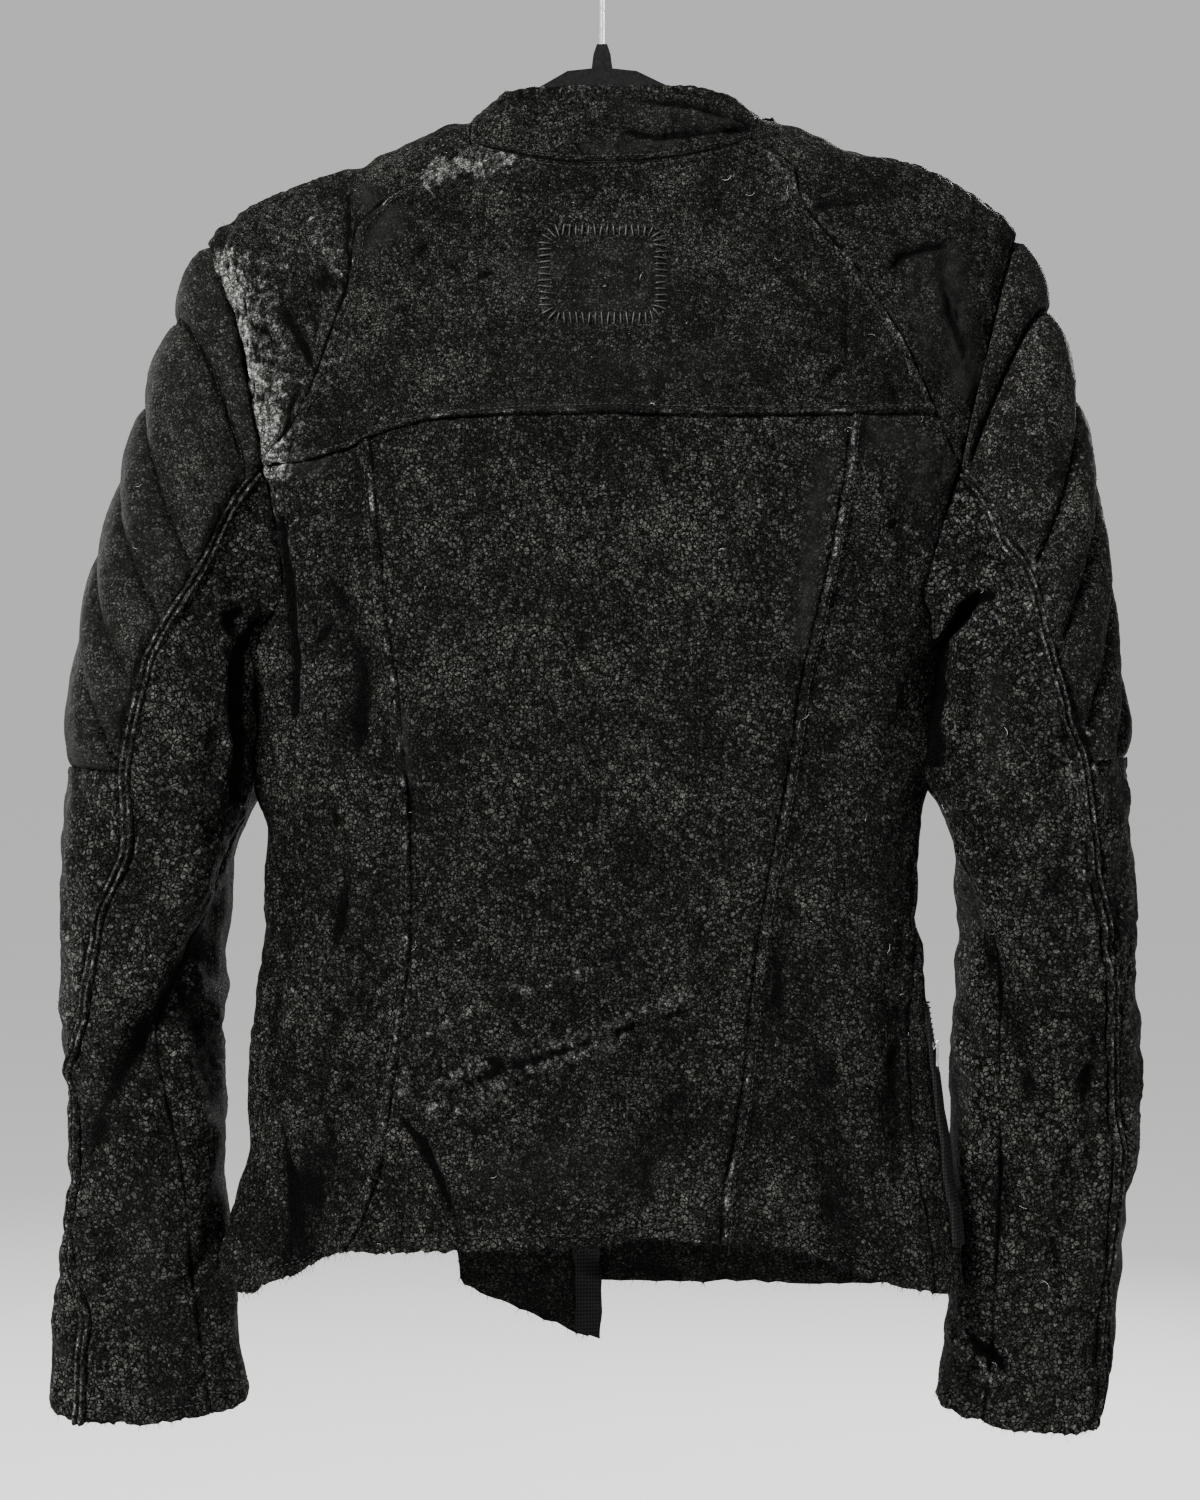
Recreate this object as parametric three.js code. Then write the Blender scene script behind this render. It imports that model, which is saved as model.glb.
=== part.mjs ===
// A worn leather jacket hanging from a slim hanger by its steel hook.
//
// Millimetres, +Z up. The jacket shows its back towards -Y and its open front towards +Y, so +X is the
// wearer's right. The origin is the seat of the hook, the point where it hangs on its rail.
//
// The torso is one closed ring at every height z, walked by an angle "turn": 0 at the wearer's left side,
// PI/2 at the centre back, PI at the right side, and -PI/2 or 3*PI/2 at the centre front.
// A sleeve is a row of rings, walked by a station number and an angle "round": 0 at its outer edge,
// positive over the back, PI at its inner edge, and negative over the front.
// Every piece of leather is a patch of those surfaces between its seams, given a wall and drawn back
// from its seams by half a seam gap.

import * as THREE from 'three';

const WALL = 2; // leather, with its turned edges and seam allowances taken together
const PAD_WALL = 3; // the quilted pads' leather and wadding
const TAPE = 1.2; // woven zip tape
const SEAM_GAP = 0.6; // between neighbouring pieces
const LAID_GAP = 0.9; // under a strip that lies on a faceted wall
const TORSO_FULLNESS = 0.3; // how much fuller than an ellipse the torso's ring is
const SLEEVE_FULLNESS = 0.18;

const LEATHER = material(0x191817, 0.72, 0);
const PADDED_LEATHER = material(0x151414, 0.66, 0);
const TAPE_CLOTH = material(0x0c0c0c, 0.9, 0);
const NICKEL = material(0xb9b8b4, 0.35, 1);
const STEEL = material(0x9a9a98, 0.3, 1);
const HANGER_PLASTIC = material(0x0d0d0e, 0.55, 0);

function material(color, roughness, metalness) {
  return new THREE.MeshStandardMaterial({ color, roughness, metalness });
}

const group = new THREE.Group();

function addMesh(name, geometry, finish) {
  const mesh = new THREE.Mesh(geometry, finish);
  mesh.name = name;
  group.add(mesh);
  return mesh;
}

// ---------------------------------------------------------------------------------------------
// Curves
// ---------------------------------------------------------------------------------------------

// A smooth function through [input, value] knots that never overshoots them, held level past its ends.
function through(knots) {
  const xs = knots.map((knot) => knot[0]);
  const ys = knots.map((knot) => knot[1]);
  const last = xs.length - 1;
  const rise = xs.slice(1).map((x, i) => (ys[i + 1] - ys[i]) / (x - xs[i]));
  const slope = xs.map((_, i) => {
    if (i === 0 || i === last) return rise[Math.min(i, last - 1)];
    if (rise[i - 1] * rise[i] <= 0) return 0;
    const before = xs[i] - xs[i - 1];
    const after = xs[i + 1] - xs[i];
    const weights = [2 * after + before, after + 2 * before];
    return (weights[0] + weights[1]) / (weights[0] / rise[i - 1] + weights[1] / rise[i]);
  });
  return (input) => {
    const x = Math.min(Math.max(input, xs[0]), xs[last]);
    let i = 0;
    while (i < last - 1 && x > xs[i + 1]) i++;
    const span = xs[i + 1] - xs[i];
    const t = (x - xs[i]) / span;
    const t2 = t * t;
    const t3 = t2 * t;
    return (2 * t3 - 3 * t2 + 1) * ys[i] + (t3 - 2 * t2 + t) * span * slope[i]
      + (3 * t2 - 2 * t3) * ys[i + 1] + (t3 - t2) * span * slope[i + 1];
  };
}

function smoothstep(from, to, x) {
  const t = Math.min(Math.max((x - from) / (to - from), 0), 1);
  return t * t * (3 - 2 * t);
}

function mix(a, b, t) {
  return a + (b - a) * t;
}

// ---------------------------------------------------------------------------------------------
// The torso's surface
// ---------------------------------------------------------------------------------------------

// Where the wearer's left and right edges stand at each height: hem, waist, armpit, shoulder tip and,
// above it, the slope of the shoulder up to the neck. Between armpit and tip the edge runs on unseen
// behind the armhole.
const LEFT_EDGE = through([
  [-840, -216], [-788, -218], [-775, -218.7], [-736, -209.5], [-707, -202], [-673, -203.7], [-640, -200.2],
  [-580, -193.2], [-508, -194.5], [-450, -193.5], [-412, -199], [-320, -212], [-190.5, -226], [-172.6, -206.6],
  [-160, -177.8], [-148.2, -144.7], [-137.4, -116.9], [-129, -96], [-120, -74], [-112, -56],
]);
const RIGHT_EDGE = through([
  [-840, 207], [-797, 208.3], [-778, 206.6], [-751.5, 201.9], [-715.6, 192.7], [-677.5, 188], [-626.6, 181.4],
  [-594, 179.9], [-557.7, 181.7], [-516, 184.6], [-450, 187.5], [-409, 197], [-370, 208], [-320, 220], [-187, 237.5],
  [-166.6, 221.6], [-153.3, 199.4], [-145.7, 173.9], [-137.9, 146.2], [-126.7, 118.6], [-122.4, 101.8],
  [-119.5, 89], [-112, 66],
]);
const BACK_DEPTH = through([
  [-800, 57], [-700, 53], [-590, 50], [-460, 54], [-330, 58], [-250, 56], [-150, 46], [-100, 44],
]);
const FRONT_DEPTH = through([[-800, 52], [-590, 47], [-330, 58], [-250, 57], [-185, 52], [-100, 46]]);

// The large folds, as soft troughs that run down the cloth: where each lies at each height, how deep it
// is there and how wide. side is "back" or "front".
const FOLDS = [
  { side: 'back', width: 13, at: [[-790, -171], [-763, -169.5], [-725, -163.6], [-695, -154], [-665, -145],
    [-627, -136], [-560, -131]], depth: [[-790, 17], [-740, 14], [-680, 8], [-600, 3], [-550, 0]] },
  { side: 'back', width: 15, at: [[-770, 10], [-733, 20], [-703, 30.5], [-658, 41], [-616, 62], [-580, 70]],
    depth: [[-765, 3], [-735, 7], [-703, 9], [-650, 5], [-585, 0]] },
  { side: 'back', width: 14, at: [[-790, 141], [-763, 138], [-703, 130], [-658, 122.6], [-612, 103]],
    depth: [[-790, 10], [-720, 9], [-660, 6], [-590, 0]] },
  { side: 'front', width: 18, at: [[-790, -150], [-700, -138], [-560, -118]],
    depth: [[-790, 9], [-700, 6], [-570, 0]] },
  { side: 'front', width: 18, at: [[-790, 122], [-700, 112], [-560, 96]],
    depth: [[-790, 9], [-700, 6], [-570, 0]] },
].map((fold) => ({ ...fold, at: through(fold.at), depth: through(fold.depth) }));

// The wearer's left front hangs behind the right one where they lap at the centre front.
const LAP_DEPTH = 8;

function torsoPoint(turn, z) {
  const left = LEFT_EDGE(z);
  const right = RIGHT_EDGE(z);
  const c = Math.cos(turn);
  const s = Math.sin(turn);
  const isBack = s > 0;
  const x = (left + right) / 2 - ((right - left) / 2) * c;
  let y = -(isBack ? BACK_DEPTH(z) : FRONT_DEPTH(z)) * s * (1 + TORSO_FULLNESS * c * c);
  const outward = isBack ? -1 : 1;
  for (const fold of FOLDS) {
    if ((fold.side === 'back') !== isBack) continue;
    const off = (x - fold.at(z)) / fold.width;
    y -= outward * fold.depth(z) * Math.exp(-0.5 * off * off) * Math.abs(s);
  }
  if (turn < 0) y -= LAP_DEPTH * smoothstep(-120, -45, x) * smoothstep(-230, -420, z);
  return new THREE.Vector3(x, y, z);
}

function torsoNormal(turn, z) {
  const alongTurn = torsoPoint(turn + 0.002, z).sub(torsoPoint(turn - 0.002, z));
  const up = torsoPoint(turn, z + 0.5).sub(torsoPoint(turn, z - 0.5));
  return alongTurn.cross(up).normalize();
}

// The turn at which the torso stands at x, on the back, the left front or the right front.
function turnOf(x, z, part) {
  const left = LEFT_EDGE(z);
  const right = RIGHT_EDGE(z);
  const c = Math.min(Math.max((left + right - 2 * x) / (right - left), -1), 1);
  const turn = Math.acos(c);
  if (part === 'back') return turn;
  return part === 'leftFront' ? -turn : 2 * Math.PI - turn;
}

function spot(x, z, part) {
  return [turnOf(x, z, part), z];
}

// A seam across the torso: a smooth line from one [turn, z] corner to another by way of [x, z] points.
function seam(start, via, end, part) {
  const stops = [start, ...via.map(([x, z]) => spot(x, z, part)), end];
  const points = stops.map(([turn, z]) => torsoPoint(turn, z));
  const reach = [0];
  for (let i = 1; i < points.length; i++) reach.push(reach[i - 1] + points[i].distanceTo(points[i - 1]));
  const total = reach[reach.length - 1];
  const turn = through(stops.map((stop, i) => [reach[i] / total, stop[0]]));
  const height = through(stops.map((stop, i) => [reach[i] / total, stop[1]]));
  return (t) => [turn(t), height(t)];
}

// count + 1 stops along a seam; a bias over 1 crowds them towards its start.
function stops(line, count, bias = 1) {
  return Array.from({ length: count + 1 }, (_, i) => line((i / count) ** bias));
}

function join(...runs) {
  return runs.reduce((all, run) => [...all, ...run.slice(1)]);
}

function reversed(run) {
  return [...run].reverse();
}

// ---------------------------------------------------------------------------------------------
// Armholes
// ---------------------------------------------------------------------------------------------

// Each armhole runs from the shoulder tip down the back to the armpit and up the front. It is walked by
// the sleeve's own angle "round", so that the sleeve's first ring is the armhole itself.
const ARMHOLES = {
  left: {
    tip: -190.5, armpit: -412,
    back: [[-217.6, -212.6], [-206, -246], [-198, -287.6], [-191.8, -320], [-186, -352], [-183, -374],
      [-182, -391], [-188, -405]],
    front: [[-216, -214], [-205, -248], [-195, -288], [-188, -320], [-183, -352], [-181, -374],
      [-182, -390], [-189, -404]],
  },
  right: {
    tip: -187, armpit: -409,
    back: [[230, -211], [222, -244.6], [212, -286], [203.5, -321], [194, -352], [187, -376], [183, -391],
      [186, -402]],
    front: [[229, -213], [220, -247], [210, -288], [200, -321], [190, -352], [183, -376], [180, -391],
      [185, -402]],
  },
};
const ROUND_LOW = { left: roundAt('left', -320), right: roundAt('right', -321) }; // where the back seams meet
const ROUND_SHOULDER_SEAM = 0.9; // where the front's shoulder seam ends
const ROUND_FRONT_LOW = 1.72; // where the sleeve's front seam starts

function roundAt(side, z) {
  const { tip, armpit } = ARMHOLES[side];
  return Math.acos((2 * z - tip - armpit) / (tip - armpit));
}

function armholeTurns(side, part, points) {
  const edge = side === 'left' ? 0 : Math.PI;
  return through([
    [0, edge],
    ...points.map(([x, z]) => [roundAt(side, z), turnOf(x, z, part)]),
    [Math.PI, edge],
  ]);
}

for (const side of ['left', 'right']) {
  const hole = ARMHOLES[side];
  hole.backTurn = armholeTurns(side, 'back', hole.back);
  hole.frontTurn = armholeTurns(side, side === 'left' ? 'leftFront' : 'rightFront', hole.front);
}

// The point of an armhole at an angle, as the torso's [turn, z].
function armholeSpot(side, round) {
  const { tip, armpit, backTurn, frontTurn } = ARMHOLES[side];
  const turn = (round >= 0 ? backTurn : frontTurn)(Math.abs(round));
  return [turn, (tip + armpit) / 2 + ((tip - armpit) / 2) * Math.cos(round)];
}

// count + 1 angles from one to another.
function rounds(from, to, count) {
  return Array.from({ length: count + 1 }, (_, i) => mix(from, to, i / count));
}

// ---------------------------------------------------------------------------------------------
// The sleeves' surfaces
// ---------------------------------------------------------------------------------------------

// Each station is a ring seen edge on from behind: its outer and inner edge as [x, z], its half depth,
// the y of its middle, and how far its back dips below its edges. The upper rings fan out from the armpit.
const STATIONS = {
  left: [
    { outer: [-226, -190.5], inner: [-199, -412], depth: 33, middle: 0, dip: 0 },
    { outer: [-245, -240], inner: [-200.5, -417], depth: 40, middle: 0, dip: 0 },
    { outer: [-262, -293], inner: [-200.5, -421], depth: 45, middle: 0, dip: 0 },
    { outer: [-277, -346], inner: [-200.5, -430], depth: 49, middle: 0, dip: 0 },
    { outer: [-291, -396], inner: [-200, -445], depth: 51, middle: 0, dip: 0 },
    { outer: [-299, -447], inner: [-199.5, -470], depth: 51, middle: 0, dip: 0 },
    { outer: [-305, -502], inner: [-201, -505], depth: 50, middle: 1, dip: 0 },
    { outer: [-311, -545], inner: [-213, -545], depth: 48, middle: 3, dip: 0 },
    { outer: [-314, -609], inner: [-219, -600], depth: 45, middle: 8, dip: 0 },
    { outer: [-313, -650], inner: [-222.5, -645], depth: 43, middle: 12, dip: 0 },
    { outer: [-309.6, -705], inner: [-220, -710], depth: 38, middle: 18, dip: 2 },
    { outer: [-313.6, -769], inner: [-218.2, -769], depth: 32, middle: 25, dip: 5 },
    { outer: [-322.9, -825], inner: [-212, -828], depth: 23, middle: 30, dip: 10 },
    { outer: [-325.8, -868], inner: [-208, -862], depth: 16, middle: 33, dip: 12 },
  ],
  right: [
    { outer: [237.5, -187], inner: [197, -409], depth: 33, middle: 0, dip: 0 },
    { outer: [256.9, -232], inner: [199.5, -414], depth: 40, middle: 0, dip: 0 },
    { outer: [267.9, -278], inner: [200.5, -420], depth: 45, middle: 0, dip: 0 },
    { outer: [278, -330], inner: [200.5, -427], depth: 49, middle: 0, dip: 0 },
    { outer: [286, -380], inner: [199.5, -441], depth: 51, middle: 0, dip: 0 },
    { outer: [293, -440], inner: [197.5, -465], depth: 51, middle: 0, dip: 0 },
    { outer: [301, -497], inner: [192.5, -500], depth: 50, middle: 1, dip: 0 },
    { outer: [306.1, -543], inner: [203, -543], depth: 48, middle: 3, dip: 0 },
    { outer: [308.4, -590], inner: [208, -590], depth: 46, middle: 8, dip: 0 },
    { outer: [310.5, -645], inner: [204.5, -645], depth: 43, middle: 12, dip: 0 },
    { outer: [311, -710], inner: [204.2, -710], depth: 39, middle: 18, dip: 2 },
    { outer: [306.5, -765], inner: [203.5, -768], depth: 35, middle: 25, dip: 5 },
    { outer: [300, -820], inner: [202.5, -822], depth: 30, middle: 30, dip: 8 },
    { outer: [290, -877], inner: [199, -863], depth: 24, middle: 33, dip: 10 },
  ],
};
const CUFF = STATIONS.left.length - 1;
const ARMHOLE_BLEND = 3; // stations over which the armhole's outline fades into the plain rings

function ringsOf(side) {
  const rows = STATIONS[side];
  const along = (pick) => through(rows.map((row, i) => [i, pick(row)]));
  return {
    outerX: along((row) => row.outer[0]),
    outerZ: along((row) => row.outer[1]),
    innerX: along((row) => row.inner[0]),
    innerZ: along((row) => row.inner[1]),
    depth: along((row) => row.depth),
    middle: along((row) => row.middle),
    dip: along((row) => row.dip),
  };
}

const RINGS = { left: ringsOf('left'), right: ringsOf('right') };

function plainRing(side, station, round) {
  const ring = RINGS[side];
  const c = Math.cos(round);
  const s = Math.sin(round);
  const outer = [ring.outerX(station), ring.outerZ(station)];
  const inner = [ring.innerX(station), ring.innerZ(station)];
  return new THREE.Vector3(
    (outer[0] + inner[0]) / 2 + ((outer[0] - inner[0]) / 2) * c,
    ring.middle(station) - ring.depth(station) * s * (1 + SLEEVE_FULLNESS * c * c),
    (outer[1] + inner[1]) / 2 + ((outer[1] - inner[1]) / 2) * c - ring.dip(station) * s,
  );
}

function sleevePoint(side, station, round) {
  const point = plainRing(side, station, round);
  const fade = Math.max(1 - station / ARMHOLE_BLEND, 0) ** 3;
  if (fade === 0) return point;
  const offset = torsoPoint(...armholeSpot(side, wrapped(round))).sub(plainRing(side, 0, round));
  return point.addScaledVector(offset, fade);
}

function wrapped(round) {
  if (round > Math.PI) return round - 2 * Math.PI;
  return round < -Math.PI ? round + 2 * Math.PI : round;
}

function sleeveNormal(side, station, round) {
  const low = Math.max(station - 0.02, 0);
  const down = sleevePoint(side, low + 0.04, round).sub(sleevePoint(side, low, round));
  const across = sleevePoint(side, station, round + 0.004).sub(sleevePoint(side, station, round - 0.004));
  const normal = down.cross(across).normalize();
  return side === 'left' ? normal : normal.negate();
}

// The station and angle of the sleeve's back at [x, z].
function onSleeve(side, x, z) {
  const ring = RINGS[side];
  const ahead = (station) => {
    const dx = ring.outerX(station) - ring.innerX(station);
    const dz = ring.outerZ(station) - ring.innerZ(station);
    const turned = (x - ring.innerX(station)) * dz - (z - ring.innerZ(station)) * dx;
    return side === 'left' ? -turned : turned;
  };
  let low = 0;
  let high = CUFF;
  for (let i = 0; i < 40; i++) {
    const middle = (low + high) / 2;
    if (ahead(middle) > 0) low = middle;
    else high = middle;
  }
  const outer = new THREE.Vector2(ring.outerX(low), ring.outerZ(low));
  const inner = new THREE.Vector2(ring.innerX(low), ring.innerZ(low));
  const axis = outer.clone().sub(inner).multiplyScalar(0.5);
  const reach = new THREE.Vector2(x, z).sub(outer.add(inner).multiplyScalar(0.5)).dot(axis) / axis.lengthSq();
  return [low, Math.acos(Math.min(Math.max(reach, -1), 1))];
}

// A seam down a sleeve's back as a function of the station, through [x, z] points.
function sleeveSeam(side, start, points) {
  return through([[0, start], ...points.map(([x, z]) => onSleeve(side, x, z))]);
}

const PIPING = {
  left: sleeveSeam('left', ROUND_LOW.left, [
    [-223, -371], [-238, -400], [-259, -445], [-268.5, -498], [-269, -539], [-287, -581], [-297, -636],
    [-304, -674], [-308, -768], [-301, -807], [-306, -862],
  ]),
  right: sleeveSeam('right', ROUND_LOW.right, [
    [226, -360], [240, -384], [252.5, -433], [261.6, -462], [271, -490], [279, -547],
    [289, -609], [294, -680], [294, -768], [289, -860],
  ]),
};
const INNER_SEAM = {
  left: through([[0, Math.PI], [6, 3.0], [7, 2.75], [8, 2.3], [9, 1.9], [10.5, 2.17], [CUFF, 2.29]]),
  right: through([[0, Math.PI], [6, 3.0], [7, 2.7], [8, 2.4], [9, 2.2], [10.5, 2.15], [CUFF, 2.1]]),
};
const FRONT_SEAM = through([[0, -ROUND_FRONT_LOW], [4, -1.5], [8, -1.2], [CUFF, -1.15]]);
const PAD_END = 5.8; // the station where the quilted pad stops

// ---------------------------------------------------------------------------------------------
// From a grid of points to a wall of leather
// ---------------------------------------------------------------------------------------------

// Where two surfaces meet at an angle, both pieces take the mean of the two normals along their seam.
const SAME_CORNER = 0.05;
const sharedNormals = [];

function shareNormal(point, normalA, normalB) {
  sharedNormals.push({ point, normal: normalA.clone().add(normalB).normalize() });
}

function normalAt({ point, normal }) {
  const shared = sharedNormals.find((entry) => entry.point.distanceTo(point) < SAME_CORNER);
  return (shared ?? { normal }).normal.clone();
}

const TURN_REACH = 200; // about how many mm the torso's ring is long for each radian of turn

// The stops of a patch between four seams, by Coons' rule in the surface's own two coordinates.
function fillPatch(top, bottom, left, right) {
  const rows = left.length - 1;
  const columns = top.length - 1;
  const reach = (run) => {
    const sums = [0];
    for (let i = 1; i < run.length; i++) {
      const step = Math.hypot((run[i][0] - run[i - 1][0]) * TURN_REACH, run[i][1] - run[i - 1][1]);
      sums.push(sums[i - 1] + step);
    }
    return sums.map((sum) => sum / sums[sums.length - 1]);
  };
  const [alongTop, alongBottom, alongLeft, alongRight] = [top, bottom, left, right].map(reach);
  return left.map((_, i) => top.map((__, j) => {
    const u = mix(alongTop[j], alongBottom[j], i / rows);
    const v = mix(alongLeft[i], alongRight[i], j / columns);
    return [0, 1].map((k) => mix(top[j][k], bottom[j][k], v) + mix(left[i][k], right[i][k], u)
      - mix(mix(top[0][k], top[columns][k], u), mix(bottom[0][k], bottom[columns][k], u), v));
  }));
}

function torsoGrid(patch) {
  return patch.map((row) => row.map(([turn, z]) => ({
    point: torsoPoint(turn, z),
    normal: torsoNormal(turn, z),
  })));
}

function border(rows, columns) {
  const loop = [];
  for (let j = 0; j < columns; j++) loop.push([0, j]);
  for (let i = 0; i < rows; i++) loop.push([i, columns]);
  for (let j = columns; j > 0; j--) loop.push([rows, j]);
  for (let i = rows; i > 0; i--) loop.push([i, 0]);
  return loop;
}

// Takes the seam normals and draws the grid's border back from its seams within the surface.
function trimmed(grid) {
  const rows = grid.length - 1;
  const columns = grid[0].length - 1;
  const cells = grid.map((row) => row.map((cell) => ({
    point: cell.point.clone(),
    normal: normalAt(cell),
  })));
  const loop = border(rows, columns);
  const edgeInward = (from, to, normal) => {
    const edge = grid[to[0]][to[1]].point.clone().sub(grid[from[0]][from[1]].point);
    return normal.clone().cross(edge).normalize();
  };
  const below = grid[rows][0].point.clone().sub(grid[rows - 1][0].point);
  const sign = -Math.sign(edgeInward([rows, 1], [rows, 0], cells[rows][0].normal).dot(below));
  loop.forEach(([i, j], k) => {
    const cell = cells[i][j];
    const before = edgeInward(loop[(k + loop.length - 1) % loop.length], [i, j], cell.normal);
    const after = edgeInward([i, j], loop[(k + 1) % loop.length], cell.normal);
    const mitre = before.clone().add(after).divideScalar(Math.max(1 + before.dot(after), 0.5));
    cell.point.addScaledVector(mitre, (sign * SEAM_GAP) / 2);
  });
  return cells;
}

// A closed wall: the grid's outer face, its copy set inwards, and a rim between them.
function wallBetween(outerRows, innerRows) {
  const rows = outerRows.length - 1;
  const columns = outerRows[0].length - 1;
  const width = columns + 1;
  const layer = (rows + 1) * width;
  const positions = [...outerRows.flat(), ...innerRows.flat()].flatMap((point) => point.toArray());
  const index = [];
  const quad = (a, b, c, d) => index.push(a, b, c, a, c, d);
  for (let i = 0; i < rows; i++) {
    for (let j = 0; j < columns; j++) {
      const a = i * width + j;
      quad(a, a + width, a + width + 1, a + 1);
      quad(layer + a, layer + a + 1, layer + a + width + 1, layer + a + width);
    }
  }
  const loop = border(rows, columns).map(([i, j]) => i * width + j);
  loop.forEach((a, k) => {
    const b = loop[(k + 1) % loop.length];
    quad(a, b, layer + b, layer + a);
  });
  const geometry = new THREE.BufferGeometry();
  geometry.setAttribute('position', new THREE.Float32BufferAttribute(positions, 3));
  geometry.setIndex(index);
  if (volumeOf(positions, index) < 0) index.reverse();
  geometry.setIndex(index);
  geometry.computeVertexNormals();
  return geometry;
}

function volumeOf(positions, index) {
  let sum = 0;
  const corner = (i) => new THREE.Vector3().fromArray(positions, index[i] * 3);
  for (let i = 0; i < index.length; i += 3) sum += corner(i).dot(corner(i + 1).cross(corner(i + 2)));
  return sum / 6;
}

function addWall(name, grid, finish = LEATHER, thickness = WALL) {
  const cells = trimmed(grid);
  const outer = cells.map((row) => row.map((cell) => cell.point));
  const inner = cells.map((row) => row.map((cell) => cell.point.clone().addScaledVector(cell.normal, -thickness)));
  return addMesh(name, wallBetween(outer, inner), finish);
}

// A strip along a line of { point, normal, across } stops, lifted off the wall that it lies on.
function addStrip(name, line, { from, to, lift, thickness, finish }) {
  const face = (height) => line.map(({ point, normal, across }) => [from, to].map((reach) => (
    point.clone().addScaledVector(across, reach).addScaledVector(normal, height))));
  return addMesh(name, wallBetween(face(lift + thickness), face(lift)), finish);
}

// ---------------------------------------------------------------------------------------------
// Seams of the torso
// ---------------------------------------------------------------------------------------------

const neckBackLeft = spot(-74, -139, 'back');
const neckBackRight = spot(84, -136.8, 'back');
const neckRidgeLeft = [0, -120];
const neckRidgeRight = [Math.PI, -119.5];
const neckShoulderLeft = spot(-76, -134, 'leftFront');
const neckShoulderRight = spot(86, -134, 'rightFront');
const neckFrontLeft = spot(-12, -187, 'leftFront');
const neckFrontRight = spot(6, -187, 'rightFront');
const yokeRight = spot(189, -291.5, 'back');
const princessTopLeft = spot(-130, -306, 'back');
const princessTopRight = spot(139.4, -293.5, 'back');
const lowLeft = armholeSpot('left', ROUND_LOW.left);
const lowRight = armholeSpot('right', ROUND_LOW.right);
const armpitLeft = armholeSpot('left', Math.PI);
const armpitRight = armholeSpot('right', Math.PI);
const shoulderSeamLeft = armholeSpot('left', -ROUND_SHOULDER_SEAM);
const shoulderSeamRight = armholeSpot('right', -ROUND_SHOULDER_SEAM);
const hemSideLeft = [0, -787];
const hemSideRight = spot(188, -791.5, 'back');
const hemPrincessLeft = spot(-144, -764.8, 'back');
const hemPrincessRight = spot(66.5, -759.6, 'back');
const hemFrontLeft = spot(-6, -832, 'leftFront');
const hemFrontRight = spot(-32, -798, 'rightFront');
const chestLeft = spot(-11, -412, 'leftFront');
const chestRight = spot(-6, -409, 'rightFront');
const flapFoot = spot(-84, -799, 'leftFront');
const flapTop = spot(-86, -772, 'leftFront');

const neckBack = seam(neckBackLeft, [[-60, -142.5], [-38, -147.5], [-12, -150.5], [20, -149.8], [39, -147.8],
  [65, -142.7]], neckBackRight, 'back');
const diagonalLeft = seam(neckBackLeft, [[-98.7, -157.5], [-142, -208.8], [-158.5, -260.8], [-169.8, -288.5]],
  lowLeft, 'back');
const diagonalRight = seam(neckBackRight, [[111.5, -169.4], [142.3, -209], [156.4, -229]], yokeRight, 'back');
const diagonalRightFoot = seam(yokeRight, [], lowRight, 'back');
const yokeSeamLeft = seam(lowLeft, [[-179.4, -320], [-145, -313]], princessTopLeft, 'back');
const yokeSeam = seam(princessTopLeft, [[-119, -302.5], [-86.6, -295.8], [10, -294.1], [55, -295.2]],
  princessTopRight, 'back');
const yokeSeamRight = seam(princessTopRight, [], yokeRight, 'back');
const princessLeft = seam(princessTopLeft, [[-127, -341], [-122, -397.6], [-113.6, -453.8], [-108, -530],
  [-108.3, -594.7], [-114, -651], [-122.4, -707.5], [-133.7, -747]], hemPrincessLeft, 'back');
const princessRight = seam(princessTopRight, [[136.6, -324.5], [122.5, -397.6], [108.8, -465], [97.5, -532.7],
  [86.3, -600.3], [80.6, -656.7], [75, -696.2], [67.6, -735.7]], hemPrincessRight, 'back');
const sideLeft = seam(armpitLeft, [], hemSideLeft, 'back');
const sideRight = seam(armpitRight, [[180.5, -550], [175.5, -650], [178, -700], [186, -760]], hemSideRight, 'back');
const hemSideBackLeft = seam(hemSideLeft, [[-203, -793], [-189, -785], [-170, -779], [-158, -770]],
  hemPrincessLeft, 'back');
const hemBack = seam(hemPrincessLeft, [[-120, -765.5], [-82, -764], [0, -761.8], [22, -757.5]],
  hemPrincessRight, 'back');
const hemSideBackRight = seam(hemPrincessRight, [[106, -763.3], [129, -771], [144, -778.6], [166, -786]],
  hemSideRight, 'back');
const shoulderFrontLeft = seam(neckShoulderLeft, [], shoulderSeamLeft, 'leftFront');
const shoulderFrontRight = seam(neckShoulderRight, [], shoulderSeamRight, 'rightFront');
const neckFrontLineLeft = seam(neckShoulderLeft, [[-72, -152], [-56, -168], [-34, -180]], neckFrontLeft, 'leftFront');
const neckFrontLineRight = seam(neckShoulderRight, [[80, -152], [60, -168], [34, -181]], neckFrontRight,
  'rightFront');
const chestEdgeLeft = seam(neckFrontLeft, [[-12, -300]], chestLeft, 'leftFront');
const chestEdgeRight = seam(neckFrontRight, [[2, -300]], chestRight, 'rightFront');
const frontEdgeLeft = seam(chestLeft, [[-9, -500], [-7, -700]], hemFrontLeft, 'leftFront');
const frontEdgeRight = seam(chestRight, [[-12, -500], [-26, -700]], hemFrontRight, 'rightFront');
const hemFrontSideLeft = seam(hemSideLeft, [[-190, -777], [-150, -771]], flapTop, 'leftFront');
const flapStep = seam(flapTop, [], flapFoot, 'leftFront');
const flapHem = seam(flapFoot, [[-45, -816]], hemFrontLeft, 'leftFront');
const hemFrontSideRight = seam(hemSideRight, [], [Math.PI, -797], 'back');
const hemFrontLineRight = seam([Math.PI, -797], [[150, -798], [60, -799]], hemFrontRight, 'rightFront');
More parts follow.
